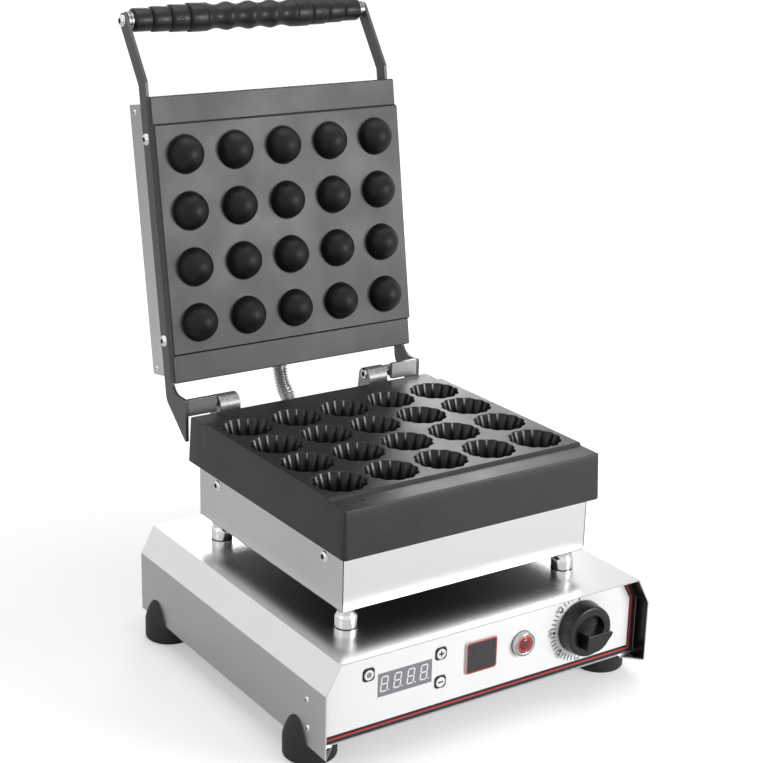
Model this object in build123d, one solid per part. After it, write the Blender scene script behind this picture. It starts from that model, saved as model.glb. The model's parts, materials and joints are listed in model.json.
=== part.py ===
from build123d import *
import math
import os

os.makedirs("parts", exist_ok=True)

# Tartlet shell maker, millimetres. +X right, -Y front, +Z up, floor at z 0.
# Heights and depths below are taken from the middle of the base. The model is
# moved at the end so that its origin is the middle of its lowest rectangle.

# Sheet metal and fits
SHEET = 1.2
FIT_GAP = 0.2
SEAT_GAP = 0.05
RUNNING_GAP = 0.05
MOVING_GAP = 0.3

# Flat sides round the small turned pieces, the feet and the grip
ROUND_SIDES = 16
SCREW_SIDES = 12
FOOT_SIDES = 24
GRIP_SIDES = 18
LUG_SIDES = 24

# Base cover, a folded sheet with sloped shoulders
COVER_HALF_X = 159.0
COVER_HALF_Y = 152.5
COVER_BOTTOM = 17.6
SHOULDER_Z = 71.3
COVER_TOP = 94.6
TOP_HALF_X = 146.5
BEND_RADIUS = 1.6
FLANGE = 15.6

# Front panel with its printed overlay, rear panel
PANEL_RECESS = 14.0
PANEL_BOTTOM = 21.6
PANEL_LIP = 12.0
OVERLAY = 0.4
REAR_RECESS = 3.0

# Controls, measured across the panel and up from the floor
CONTROLS_Z = 58.9
DIALS_Z = 59.5
DISPLAY_X = -78.0
DISPLAY_WIDTH = 50.3
DISPLAY_HEIGHT = 19.6
FUNCTION_X = -111.9
FUNCTION_Z = 70.9
FUNCTION_WIDTH = 10.4
FUNCTION_HEIGHT = 10.8
KEY_X = -44.4
KEY_SPREAD = 24.5
KEY_SIZE = 10.4
KEY_CORNER = 2.0
KEY_PROUD = 0.9
KEY_TRAVEL = 0.5
KEY_FLANGE = 1.0
SWITCH_SIZE = 6.0
SWITCH_DEPTH = 3.0
BOARD_THICKNESS = 1.6
BOARD_MARGIN = 8.0
LAMP_X = 36.2
LAMP_RADIUS = 10.3
LAMP_PROUD = 5.0
LAMP_LIP = 1.2
LENS_RADIUS = 7.3
LENS_DEPTH = 4.0
LENS_CROWN = 0.6
LENS_CROWN_EDGE = 0.6
LAMP_BODY_RADIUS = 8.0
LAMP_BODY_DEPTH = 22.0
KNOB_X = 96.2
KNOB_RADIUS = 23.0
KNOB_TAPER = 1.6
KNOB_DEPTH = 14.0
KNOB_WALL = 7.1
KNOB_DISH = 6.0
KNOB_DISH_DRAFT = 1.0
KNOB_STANDOFF = 0.6
BLADE_PROUD = 7.6
BLADE_RADIUS = 15.0
BLADE_RISE = 0.8
BLADE_BACK = 8.6
BLADE_SHOULDER = 12.8
BLADE_TIP = (17.9, -0.9)
BLADE_ARC = (-35.0, -57.0, -91.0)
KNOB_SIDES = 32
SHAFT_RADIUS = 3.0
THERMOSTAT_SIZE = 34.0
THERMOSTAT_DEPTH = 28.0
BUSHING_RADIUS = 5.0

# Feet
FOOT_RADIUS = 21.5
FOOT_INSET = 13.6
FOOT_FRONT_INSET = 43.4
FOOT_REAR_INSET = 26.6
FOOT_EDGE = 2.2
FOOT_RECESS_RADIUS = 6.0
FOOT_RECESS_DEPTH = 8.0
TONGUE_TOP = 36.5
TONGUE_SHAPE = ((0.0, 18.0), (0.4, 12.6), (0.7, 9.4), (0.9, 6.0), (1.0, 3.0))

# Spacers that hold the lower housing above the base
SPACER_INSET = 11.6
SPACER_FRONT_INSET = 12.6
SPACER_REAR_INSET = 17.3
SPACER_HEIGHT = 18.3
SPACER_RADIUS = 9.4
SPACER_NECK = 7.9
SPACER_BARREL_END = 0.5
SPACER_NECK_SPAN = (0.62, 0.74)
SPACER_RING_START = 0.9
STUD_RADIUS = 3.0
STUD_ABOVE = 8.0

# Lower housing tray
HOUSING_HALF_X = 119.0
HOUSING_FRONT = 111.6
HOUSING_BACK = 116.8
HOUSING_HEIGHT = 46.9

# Cast plates: the cup grid and the edges measured from it
GRID_Y = 3.0
PITCH = 48.0
COLUMNS = 5
ROWS = 4
PLATE_HALF_X = 123.0
PLATE_FRONT = 121.8
PLATE_BACK = 122.9
LAND_HALF = 97.2
LAND_SLOPE = 2.0
LOWER_LAND_STEP = 2.2
LOWER_CASTING_DEPTH = 39.5
CASTING_FLARE = 2.0
CASTING_CORNER = 1.6
POCKET_WALL = 14.0
POCKET_DEPTH = 15.0
UPPER_LAND_STEP = 3.2
UPPER_FLANGE = 11.4
UPPER_PLATE_DEPTH = 24.0

# Fluted cups and domes
CUP_FLUTES = 12
FLUTE_STEPS = 3
CUP_INNER_RADIUS = 20.3
CUP_OUTER_RADIUS = 22.0
CUP_DEPTH = 19.0
CUP_BOTTOM_RATIO = 0.72
DOME_RADIUS = 16.2
DOME_SIDES = 18
DOME_RINGS = 3
DOME_FLAT_ANGLE = 72.0

# Heaters, clamp plates and insulation
HEATER_SIZE = 8.0
CLAMP_THICKNESS = 2.0
CLAMP_INSET = 6.0
INSULATION_THICKNESS = 4.0
LID_INSULATION = 16.0

# Lid housing, from the plate's back
LID_HOUSING_TOP = 116.0
LID_HOUSING_BOTTOM = 120.0
LID_HOUSING_DEPTH = 28.4

# Hinge: the axis, the lid's lean at rest and the gap between the closed lands
HINGE_Y = 145.9
HINGE_Z = 201.9
LEAN = 9.0
CLOSED_GAP = 1.5
LUG_INNER = 67.5
LUG_THICKNESS = 20.0
LUG_TOP_RADIUS = 9.44
LUG_TOP_DROP = 3.5
LUG_HALF_BASE = 12.0
LUG_SHOULDER = 0.985
LUG_ARCH_DROP = 22.0
LUG_FOOT_HEIGHT = 14.0
BLOCK_INNER = 91.7
BLOCK_BAR = 4.0
BLOCK_HEIGHT = 14.6
BLOCK_WEB_HALF = 4.2
BOSS_RADIUS = 5.0
HINGE_BOLT_RADIUS = 2.5
HINGE_BOLT_HEAD_RADIUS = 4.6
HINGE_BOLT_HEAD = 4.0
HINGE_BOLT_RECESS = 3.2
HINGE_BOLT_REACH = 16.0

# Arms, in the lid's height v and its outward direction n
ARM_GAP = 0.2
ARM_THICKNESS = 3.0
ARM_WIDTH = 13.0
ARM_N = -18.1
ARM_BEND_V = 133.0
ARM_TOE_TOP = 8.8
ARM_TOE_REACH = 10.1
ARM_TOE_TIP = 29.8
ARM_TOE_SLOPE = 39.0
ARM_CORNERS = (1.0, 2.0, 12.0, 5.0, 5.0, 12.0)
ARM_END_FLAT = 0.01
SCREW_V = 86.5
SCREW_N = -17.6
SCREW_RADIUS = 3.0
SCREW_HEAD_RADIUS = 5.25
SCREW_HEAD = 2.9
SCREW_CROWN = (0.72, 0.62)
SCREW_REACH = 14.0

# Handle
HANDLE_V = 186.5
HANDLE_N = -44.0
ROD_RADIUS = 5.0
HANDLE_SPACER_RADIUS = 7.5
HANDLE_SPACER_LENGTH = 4.9
DRUM_LENGTH = 17.5
DRUM_RADII = (10.0, 10.9, 11.8, 12.6)
GROOVE_DEPTH = 2.0
GROOVE_WIDTH = 3.0
WAVE_COUNT = 4
RIDGE_RADIUS = 12.6
VALLEY_RADIUS = 10.5
WAVE_STEPS = 4

# Ribbed conduit between the lid and the lower housing
CONDUIT_RADIUS = 7.0
CONDUIT_ROOT = 6.0
CONDUIT_BORE = 4.6
CONDUIT_PITCH = 3.5
RIB_START = 0.3
RIB_END = 0.7
CONDUIT_SIDES = 10
GLAND_RADIUS = 9.5
GLAND_FLANGE = 3.0
GLAND_NECK = 5.8
GLAND_REACH = 3.6
LID_GLAND_N = -36.2
HOUSING_GLAND_RISE = 18.0
CONDUIT_UPPER_RUN = 21.0
CONDUIT_MIDDLE = (163.0, 180.0)
CONDUIT_LOWER_RUN = 40.2
CONDUIT_BEND_RADII = (19.0, 44.0, 23.0)

# Rear entry of the supply lead, terminal block
ENTRY_X = -110.0
ENTRY_Z = 46.0
ENTRY_RADIUS = 11.0
ENTRY_LENGTH = 14.0
ENTRY_INSIDE = 6.0
ENTRY_LIP = 2.5
ENTRY_NECK = 8.0
ENTRY_BORE = 4.0
TERMINAL_SIZE = (60.0, 22.0, 16.0)
TERMINAL_PLACE = (40.0, 60.0)

# Derived places
FOOT_X = COVER_HALF_X - FOOT_INSET
FOOT_FRONT_Y = -COVER_HALF_Y + FOOT_FRONT_INSET
FOOT_REAR_Y = COVER_HALF_Y - FOOT_REAR_INSET
SPACER_X = HOUSING_HALF_X - SPACER_INSET
SPACER_FRONT_Y = -HOUSING_FRONT + SPACER_FRONT_INSET
SPACER_REAR_Y = HOUSING_BACK - SPACER_REAR_INSET
PANEL_FACE = -COVER_HALF_Y + PANEL_RECESS
PANEL_BACK = PANEL_FACE + OVERLAY + SHEET
REAR_FACE = COVER_HALF_Y - REAR_RECESS
PANEL_INSET = SHEET + FIT_GAP
HOUSING_BOTTOM = COVER_TOP + SPACER_HEIGHT
HOUSING_TOP = HOUSING_BOTTOM + HOUSING_HEIGHT
EDGE_Z = HOUSING_TOP + LOWER_CASTING_DEPTH
LAND_Z = EDGE_Z + LOWER_LAND_STEP
POCKET_TOP = HOUSING_TOP + POCKET_DEPTH
HINGE_BACK = HINGE_Y - GRID_Y
HINGE_N = LAND_Z + CLOSED_GAP - HINGE_Z
SIN = math.sin(math.radians(LEAN))
COS = math.cos(math.radians(LEAN))
ARM_INNER = HOUSING_HALF_X + ARM_GAP
ARM_OUTER = ARM_INNER + ARM_THICKNESS
GRIP_HALF = ARM_INNER - HANDLE_SPACER_LENGTH
SIDES = (("left", -1), ("right", 1))


def lid_point(v, n):
    """y and z of a place at height v on the open lid, n in front of its land."""
    rise = v + HINGE_BACK
    out = n - HINGE_N
    return HINGE_Y + rise * SIN - out * COS, HINGE_Z + rise * COS + out * SIN


LID = Plane(origin=(0, *lid_point(0, 0)), x_dir=(1, 0, 0), z_dir=(0, -COS, SIN))
HANDLE_Y, HANDLE_Z = lid_point(HANDLE_V, HANDLE_N)
KNOB_FRONT = PANEL_FACE - KNOB_STANDOFF - KNOB_DEPTH - BLADE_PROUD
MIDDLE_Y = (HANDLE_Y + RIDGE_RADIUS + min(KNOB_FRONT, -COVER_HALF_Y)) / 2


def block(x0, x1, y0, y1, z0, z1):
    return Pos((x0 + x1) / 2, (y0 + y1) / 2, (z0 + z1) / 2) * Box(x1 - x0, y1 - y0, z1 - z0)


def prism_x(points, x0, x1):
    """Outline in y and z, drawn out from x0 to x1."""
    outline = make_face(Polyline(*[(x0, y, z) for y, z in points], close=True))
    return extrude(outline, amount=x1 - x0, dir=(1, 0, 0))


def prism_y(points, y0, y1):
    """Outline in x and z, drawn out from y0 to y1."""
    outline = make_face(Polyline(*[(x, y0, z) for x, z in points], close=True))
    return extrude(outline, amount=y1 - y0, dir=(0, 1, 0))


def ring(radius, height, sides):
    turn = 2 * math.pi / sides
    return [(radius * math.cos(i * turn), radius * math.sin(i * turn), height) for i in range(sides)]


def facet(points):
    return Face(Wire.make_polygon(points, close=True))


def stack(rings):
    """Solid with flat sides between rings of points, each flat and of the same shape."""
    faces = [facet(rings[0]), facet(rings[-1])]
    for low, high in zip(rings, rings[1:]):
        for i in range(len(low)):
            j = (i + 1) % len(low)
            faces.append(facet([low[i], low[j], high[j], high[i]]))
    return Solid(Shell(faces))


def turned(profile, sides):
    """Closed profile of radius and height turned about Z with flat sides."""
    faces = []
    for (r0, z0), (r1, z1) in zip(profile, profile[1:] + profile[:1]):
        low = ring(r0, z0, sides)
        high = ring(r1, z1, sides)
        if r0 == 0 and r1 == 0:
            continue
        if z0 == z1 and min(r0, r1) == 0:
            faces.append(facet(low if r0 else high))
            continue
        for i in range(sides):
            j = (i + 1) % sides
            corners = [low[i], low[j], high[j], high[i]]
            if r0 == 0:
                corners = [low[0], high[j], high[i]]
            if r1 == 0:
                corners = [low[i], low[j], high[0]]
            faces.append(facet(corners))
    return Solid(Shell(faces))


def turned_x(profile, x, y, z, side=1, sides=ROUND_SIDES):
    """Turned piece whose height runs outwards along X on one side."""
    plane = Plane(origin=(x, y, z), x_dir=(0, 1, 0), z_dir=(side, 0, 0))
    return plane.location * turned(profile, sides)


def turned_y(profile, x, y, z, way=1, sides=ROUND_SIDES):
    """Turned piece whose height runs along Y, backwards or forwards."""
    plane = Plane(origin=(x, y, z), x_dir=(1, 0, 0), z_dir=(0, way, 0))
    return plane.location * turned(profile, sides)


def peg_x(radius, x0, x1, y, z, sides=ROUND_SIDES):
    length = abs(x1 - x0)
    return turned_x([(0, 0), (radius, 0), (radius, length), (0, length)], min(x0, x1), y, z, 1, sides)


def peg_y(radius, y0, y1, x, z, sides=ROUND_SIDES):
    return turned_y([(0, 0), (radius, 0), (radius, y1 - y0), (0, y1 - y0)], x, y0, z, 1, sides)


def peg_z(radius, z0, z1, x, y, sides=ROUND_SIDES):
    return Pos(x, y, 0) * stack([ring(radius, z0, sides), ring(radius, z1, sides)])


def rod_x(radius, x0, x1, y, z):
    return Pos((x0 + x1) / 2, y, z) * Rot(0, 90, 0) * Cylinder(radius, abs(x1 - x0))


def rod_y(radius, y0, y1, x, z):
    return Pos(x, (y0 + y1) / 2, z) * Rot(90, 0, 0) * Cylinder(radius, y1 - y0)


def save(node, shape):
    export_step(Pos(0, -MIDDLE_Y, 0) * shape, f"parts/{node}.step")


def cover_section(inset, bottom):
    """Outline of the base cover, drawn in by inset on every side but the bottom."""
    slope = math.atan2(COVER_HALF_X - TOP_HALF_X, COVER_TOP - SHOULDER_Z)
    side_x = COVER_HALF_X - inset
    shoulder = SHOULDER_Z - inset * math.tan(slope / 2)
    top_x = TOP_HALF_X - inset * math.tan((math.pi / 2 - slope) / 2)
    right = [(side_x, bottom), (side_x, shoulder), (top_x, COVER_TOP - inset)]
    return right + [(-x, z) for x, z in reversed(right)]


def spacer_places():
    for end, y in (("front", SPACER_FRONT_Y), ("rear", SPACER_REAR_Y)):
        for name, side in SIDES:
            yield f"{end}_{name}", side * SPACER_X, y


def make_base_cover():
    outer = prism_y(cover_section(0, COVER_BOTTOM), -COVER_HALF_Y, COVER_HALF_Y)
    outer = fillet(outer.edges().filter_by(Axis.Y), BEND_RADIUS)
    inside = prism_y(cover_section(SHEET, COVER_BOTTOM + SHEET), -COVER_HALF_Y, COVER_HALF_Y)
    half_gap = COVER_HALF_X - FLANGE
    gap = block(-half_gap, half_gap, -COVER_HALF_Y, COVER_HALF_Y, COVER_BOTTOM, COVER_BOTTOM + SHEET)
    cover = outer - inside - gap
    for side in (-1, 1):
        for end in (-1, 1):
            mitre = Polyline(
                (side * (COVER_HALF_X - SHEET), end * COVER_HALF_Y, COVER_BOTTOM),
                (side * half_gap, end * COVER_HALF_Y, COVER_BOTTOM),
                (side * half_gap, end * (COVER_HALF_Y - FLANGE + SHEET), COVER_BOTTOM),
                close=True,
            )
            cover -= extrude(make_face(mitre), amount=SHEET, dir=(0, 0, 1))
    for _, x, y in spacer_places():
        cover -= peg_z(STUD_RADIUS + FIT_GAP, COVER_TOP - SHEET, COVER_TOP, x, y, SCREW_SIDES)
    save("base_cover", cover)


def key_places():
    """Name, place, width and height of each key."""
    yield "function_button", FUNCTION_X, FUNCTION_Z, FUNCTION_WIDTH, FUNCTION_HEIGHT
    yield "plus_button", KEY_X, CONTROLS_Z + KEY_SPREAD / 2, KEY_SIZE, KEY_SIZE
    yield "minus_button", KEY_X, CONTROLS_Z - KEY_SPREAD / 2, KEY_SIZE, KEY_SIZE


def key_plate(width, height, x, z, y0, y1):
    """Rectangular key or key hole with cut corners."""
    a, b, c = width / 2, height / 2, KEY_CORNER
    right = [(a - c, -b), (a, c - b), (a, b - c), (a - c, b)]
    left = [(c - a, b), (-a, b - c), (-a, c - b), (c - a, -b)]
    return prism_y([(x + dx, z + dz) for dx, dz in right + left], y0, y1)


def panel_openings(y0, y1):
    width = DISPLAY_WIDTH + 2 * FIT_GAP
    height = DISPLAY_HEIGHT + 2 * FIT_GAP
    holes = [
        block(
            DISPLAY_X - width / 2, DISPLAY_X + width / 2, y0, y1,
            CONTROLS_Z - height / 2, CONTROLS_Z + height / 2,
        ),
        peg_y(LAMP_BODY_RADIUS + FIT_GAP, y0, y1, LAMP_X, DIALS_Z),
        peg_y(BUSHING_RADIUS + FIT_GAP, y0, y1, KNOB_X, DIALS_Z),
    ]
    for _, x, z, wide, high in key_places():
        holes.append(key_plate(wide + 2 * MOVING_GAP, high + 2 * MOVING_GAP, x, z, y0, y1))
    return holes


def make_panels():
    outline = cover_section(PANEL_INSET, PANEL_BOTTOM)
    metal_face = PANEL_FACE + OVERLAY
    panel = prism_y(outline, metal_face, PANEL_BACK)
    reach = COVER_HALF_X - PANEL_INSET
    panel += block(-reach, reach, PANEL_BACK, metal_face + PANEL_LIP, PANEL_BOTTOM, PANEL_BOTTOM + SHEET)
    save("front_panel", panel.cut(*panel_openings(metal_face, PANEL_BACK)))

    overlay = prism_y(outline, PANEL_FACE, metal_face)
    save("fascia_overlay", overlay.cut(*panel_openings(PANEL_FACE, metal_face)))

    floor_top = COVER_BOTTOM + 2 * SHEET
    rear = prism_y(cover_section(PANEL_INSET, floor_top + FIT_GAP), REAR_FACE - SHEET, REAR_FACE)
    hole = peg_y(ENTRY_NECK + FIT_GAP, REAR_FACE - SHEET, REAR_FACE, ENTRY_X, ENTRY_Z)
    save("rear_panel", rear - hole)

    reach = COVER_HALF_X - SHEET - FIT_GAP
    front = PANEL_BACK + FIT_GAP
    save("bottom_plate", block(-reach, reach, front, REAR_FACE, floor_top - SHEET, floor_top))


def make_feet():
    reach = FOOT_X + FOOT_RADIUS
    rise = TONGUE_TOP - COVER_BOTTOM
    for end, y in (("front", FOOT_FRONT_Y), ("rear", FOOT_REAR_Y)):
        for name, side in SIDES:
            x = side * FOOT_X
            rings = [
                ring(FOOT_RADIUS - FOOT_EDGE, 0, FOOT_SIDES),
                ring(FOOT_RADIUS, FOOT_EDGE, FOOT_SIDES),
                ring(FOOT_RADIUS, TONGUE_TOP, FOOT_SIDES),
            ]
            body = Pos(x, y, 0) * stack(rings)
            flank = [(half, COVER_BOTTOM + share * rise) for share, half in TONGUE_SHAPE]
            outline = [(y + half, z) for half, z in flank] + [(y - half, z) for half, z in reversed(flank)]
            tongue = prism_x(outline, *sorted((side * COVER_HALF_X, side * reach)))
            disc = block(x - FOOT_RADIUS, x + FOOT_RADIUS, y - FOOT_RADIUS, y + FOOT_RADIUS, 0, COVER_BOTTOM)
            foot = body & (disc + tongue)
            foot -= peg_z(FOOT_RECESS_RADIUS, 0, FOOT_RECESS_DEPTH, x, y, SCREW_SIDES)
            save(f"foot_{end}_{name}", foot)


def make_spacers():
    profile = [
        (0, 0),
        (SPACER_RADIUS, 0),
        (SPACER_RADIUS, SPACER_HEIGHT * SPACER_BARREL_END),
        (SPACER_NECK, SPACER_HEIGHT * SPACER_NECK_SPAN[0]),
        (SPACER_NECK, SPACER_HEIGHT * SPACER_NECK_SPAN[1]),
        (SPACER_RADIUS, SPACER_HEIGHT * SPACER_RING_START),
        (SPACER_RADIUS, SPACER_HEIGHT),
        (STUD_RADIUS, SPACER_HEIGHT),
        (STUD_RADIUS, SPACER_HEIGHT + STUD_ABOVE),
        (0, SPACER_HEIGHT + STUD_ABOVE),
    ]
    for name, x, y in spacer_places():
        save(f"spacer_{name}", Pos(x, y, COVER_TOP) * turned(profile, ROUND_SIDES))


def make_lower_housing():
    outer = block(
        -HOUSING_HALF_X, HOUSING_HALF_X, -HOUSING_FRONT, HOUSING_BACK, HOUSING_BOTTOM, HOUSING_TOP
    )
    inner = block(
        -HOUSING_HALF_X + SHEET, HOUSING_HALF_X - SHEET, -HOUSING_FRONT + SHEET,
        HOUSING_BACK - SHEET, HOUSING_BOTTOM + SHEET, HOUSING_TOP,
    )
    housing = outer - inner
    for _, x, y in spacer_places():
        housing -= peg_z(STUD_RADIUS + FIT_GAP, HOUSING_BOTTOM, HOUSING_BOTTOM + SHEET, x, y, SCREW_SIDES)
    gland_z = HOUSING_BOTTOM + HOUSING_GLAND_RISE
    housing -= peg_y(GLAND_NECK + SEAT_GAP, HOUSING_BACK - SHEET, HOUSING_BACK, 0, gland_z)
    save("lower_housing", housing)


def cup_ring(ratio, z):
    """Outline of a fluted cup at depth z: round notches between outward lobes."""
    points = []
    for flute in range(CUP_FLUTES):
        for step in range(FLUTE_STEPS):
            part = step / FLUTE_STEPS
            angle = math.radians((flute + part) * 360 / CUP_FLUTES)
            swell = (CUP_OUTER_RADIUS - CUP_INNER_RADIUS) * math.sin(math.pi * part)
            radius = ratio * (CUP_INNER_RADIUS + swell)
            points.append((radius * math.cos(angle), radius * math.sin(angle), z))
    return points


def dome_ring(angle):
    angle = math.radians(angle)
    return ring(DOME_RADIUS * math.cos(angle), DOME_RADIUS * math.sin(angle), DOME_SIDES)


def grid_places():
    for row in range(ROWS):
        for column in range(COLUMNS):
            yield (column - (COLUMNS - 1) / 2) * PITCH, (row - (ROWS - 1) / 2) * PITCH


def casting_back(z):
    """y of the lower casting's sloped rear face at height z."""
    return GRID_Y + PLATE_BACK + CASTING_FLARE * (EDGE_Z - z) / LOWER_CASTING_DEPTH


def make_lower_plate():
    front = GRID_Y - PLATE_FRONT
    back = GRID_Y + PLATE_BACK
    taper = math.degrees(math.atan2(CASTING_FLARE, LOWER_CASTING_DEPTH))
    outline = Pos(0, (front + back) / 2, EDGE_Z) * RectangleRounded(
        2 * PLATE_HALF_X, back - front, CASTING_CORNER
    )
    casting = extrude(outline, amount=LOWER_CASTING_DEPTH, dir=(0, 0, -1), taper=-taper)
    casting += prism_x(
        [
            (GRID_Y - LAND_HALF - LAND_SLOPE, EDGE_Z),
            (GRID_Y + LAND_HALF + LAND_SLOPE, EDGE_Z),
            (GRID_Y + LAND_HALF, LAND_Z),
            (GRID_Y - LAND_HALF, LAND_Z),
        ],
        -PLATE_HALF_X,
        PLATE_HALF_X,
    )
    pocket_x = PLATE_HALF_X - POCKET_WALL
    casting -= block(
        -pocket_x, pocket_x, front + POCKET_WALL, back - POCKET_WALL, HOUSING_TOP, POCKET_TOP
    )
    cup = stack([cup_ring(CUP_BOTTOM_RATIO, LAND_Z - CUP_DEPTH), cup_ring(1, LAND_Z)])
    casting = casting.cut(*[Pos(x, GRID_Y + y, 0) * cup for x, y in grid_places()])
    save("lower_plate", casting)


def heater_bar(bottom):
    """One flat-sided heating element in a serpentine below the rows of cups."""
    reach = PLATE_HALF_X - POCKET_WALL - 2 * HEATER_SIZE
    half = HEATER_SIZE / 2
    top = bottom + HEATER_SIZE
    rows = [(row - (ROWS - 1) / 2) * PITCH for row in range(ROWS)]
    bar = None
    for row, y in enumerate(rows):
        run = block(-reach, reach, y - half, y + half, bottom, top)
        bar = run if bar is None else bar + run
        if row + 1 < ROWS:
            end = reach if row % 2 == 0 else -reach
            x0, x1 = sorted((end, end - math.copysign(HEATER_SIZE, end)))
            bar += block(x0, x1, y, rows[row + 1], bottom, top)
    return bar


def board_between(half_x, front, back, z0, z1):
    return block(-half_x, half_x, front, back, z0, z1)


def make_heating():
    place = Pos(0, GRID_Y, 0)
    heater_bottom = POCKET_TOP - HEATER_SIZE
    clamp_bottom = heater_bottom - CLAMP_THICKNESS
    half_x = PLATE_HALF_X - POCKET_WALL - CLAMP_INSET
    front = -PLATE_FRONT + POCKET_WALL + CLAMP_INSET
    back = PLATE_BACK - POCKET_WALL - CLAMP_INSET
    save("lower_heater", place * heater_bar(heater_bottom))
    save("lower_clamp", place * board_between(half_x, front, back, clamp_bottom, heater_bottom))
    insulation = board_between(half_x, front, back, clamp_bottom - INSULATION_THICKNESS, clamp_bottom)
    save("lower_insulation", place * insulation)

    heater_bottom = -UPPER_PLATE_DEPTH - HEATER_SIZE
    clamp_bottom = heater_bottom - CLAMP_THICKNESS
    half_x = HOUSING_HALF_X - SHEET - CLAMP_INSET
    front = -LID_HOUSING_BOTTOM + SHEET + CLAMP_INSET
    back = LID_HOUSING_TOP - SHEET - CLAMP_INSET
    save("upper_heater", LID.location * heater_bar(heater_bottom))
    clamp = board_between(half_x, front, back, clamp_bottom, heater_bottom)
    save("upper_clamp", LID.location * clamp)
    insulation = board_between(half_x, front, back, clamp_bottom - LID_INSULATION, clamp_bottom)
    save("upper_insulation", LID.location * insulation)


def make_upper_plate():
    """Domed plate: a wide flange in front of the arms, a narrower body between them."""
    plate = block(
        -PLATE_HALF_X, PLATE_HALF_X, -PLATE_BACK, PLATE_FRONT, -UPPER_FLANGE, -UPPER_LAND_STEP
    )
    plate += block(
        -HOUSING_HALF_X, HOUSING_HALF_X, -PLATE_BACK, PLATE_FRONT, -UPPER_PLATE_DEPTH, -UPPER_FLANGE
    )
    plate += prism_x(
        [
            (-LAND_HALF - LAND_SLOPE, -UPPER_LAND_STEP),
            (LAND_HALF + LAND_SLOPE, -UPPER_LAND_STEP),
            (LAND_HALF, 0),
            (-LAND_HALF, 0),
        ],
        -PLATE_HALF_X,
        PLATE_HALF_X,
    )
    rings = [dome_ring(DOME_FLAT_ANGLE * step / DOME_RINGS) for step in range(DOME_RINGS + 1)]
    dome = stack(rings)
    plate = plate.fuse(*[Pos(x, y, 0) * dome for x, y in grid_places()])
    for v in (-SCREW_V, SCREW_V):
        for _, side in SIDES:
            edge = side * HOUSING_HALF_X
            inner = edge - side * SCREW_REACH
            plate -= peg_x(SCREW_RADIUS + FIT_GAP, inner, edge, v, SCREW_N, SCREW_SIDES)
    save("upper_plate", LID.location * plate)


def make_lid_housing():
    back = -UPPER_PLATE_DEPTH - LID_HOUSING_DEPTH
    outer = block(
        -HOUSING_HALF_X, HOUSING_HALF_X, -LID_HOUSING_BOTTOM, LID_HOUSING_TOP, back, -UPPER_PLATE_DEPTH
    )
    inner = block(
        -HOUSING_HALF_X + SHEET, HOUSING_HALF_X - SHEET, -LID_HOUSING_BOTTOM + SHEET,
        LID_HOUSING_TOP - SHEET, back + SHEET, -UPPER_PLATE_DEPTH,
    )
    hole = peg_y(
        GLAND_NECK + SEAT_GAP, -LID_HOUSING_BOTTOM, -LID_HOUSING_BOTTOM + SHEET, 0, LID_GLAND_N
    )
    save("lid_housing", LID.location * (outer - inner - hole))


def make_hinge():
    """Cast lugs, welded bars with a boss on the axis, and the bolts the lid turns on."""
    base_z = HINGE_Z - LUG_ARCH_DROP
    foot_z = base_z - LUG_FOOT_HEIGHT
    top_z = HINGE_Z - LUG_TOP_DROP
    half_top = LUG_TOP_RADIUS * LUG_SHOULDER
    for name, side in SIDES:
        x0, x1 = sorted((side * LUG_INNER, side * (LUG_INNER + LUG_THICKNESS)))
        lug = prism_x(
            [
                (casting_back(foot_z), foot_z),
                (HINGE_Y + LUG_HALF_BASE, foot_z),
                (HINGE_Y + LUG_HALF_BASE, base_z),
                (HINGE_Y + half_top, top_z),
                (HINGE_Y - half_top, top_z),
                (HINGE_Y - LUG_HALF_BASE, base_z),
                (casting_back(base_z), base_z),
            ],
            x0,
            x1,
        )
        lug += peg_x(LUG_TOP_RADIUS, x0, x1, HINGE_Y, top_z, LUG_SIDES)
        lug -= rod_x(HINGE_BOLT_RADIUS + RUNNING_GAP, x0, x1, HINGE_Y, HINGE_Z)
        face = side * LUG_INNER
        seat = side * (LUG_INNER + HINGE_BOLT_RECESS)
        lug -= peg_x(HINGE_BOLT_HEAD_RADIUS + MOVING_GAP, face, seat, HINGE_Y, HINGE_Z)
        save(f"hinge_lug_{name}", lug)

        x0, x1 = sorted((side * BLOCK_INNER, side * ARM_INNER))
        front = HINGE_Y - ARM_TOE_REACH
        web = front + BLOCK_BAR
        top = HINGE_Z + ARM_TOE_TOP
        pivot = block(x0, x1, front, web, top - BLOCK_HEIGHT, top)
        pivot += block(x0, x1, web, HINGE_Y, HINGE_Z - BLOCK_WEB_HALF, HINGE_Z + BLOCK_WEB_HALF)
        boss_end = side * (LUG_INNER + LUG_THICKNESS + MOVING_GAP)
        pivot += peg_x(BOSS_RADIUS, side * ARM_INNER, boss_end, HINGE_Y, HINGE_Z)
        hole_end = side * (BLOCK_INNER + HINGE_BOLT_REACH)
        pivot -= peg_x(HINGE_BOLT_RADIUS + 2 * SEAT_GAP, boss_end, hole_end, HINGE_Y, HINGE_Z)
        save(f"pivot_block_{name}", pivot)

        under_head = seat - side * MOVING_GAP
        bolt = rod_x(HINGE_BOLT_RADIUS, under_head, hole_end, HINGE_Y, HINGE_Z)
        head_end = under_head - side * HINGE_BOLT_HEAD
        bolt += peg_x(HINGE_BOLT_HEAD_RADIUS, head_end, under_head, HINGE_Y, HINGE_Z)
        save(f"hinge_bolt_{name}", bolt)


def meet(p, p_way, q, q_way):
    """Where the line through p meets the line through q."""
    cross = p_way[0] * q_way[1] - p_way[1] * q_way[0]
    along = ((q[0] - p[0]) * q_way[1] - (q[1] - p[1]) * q_way[0]) / cross
    return p[0] + along * p_way[0], p[1] + along * p_way[1]


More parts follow.
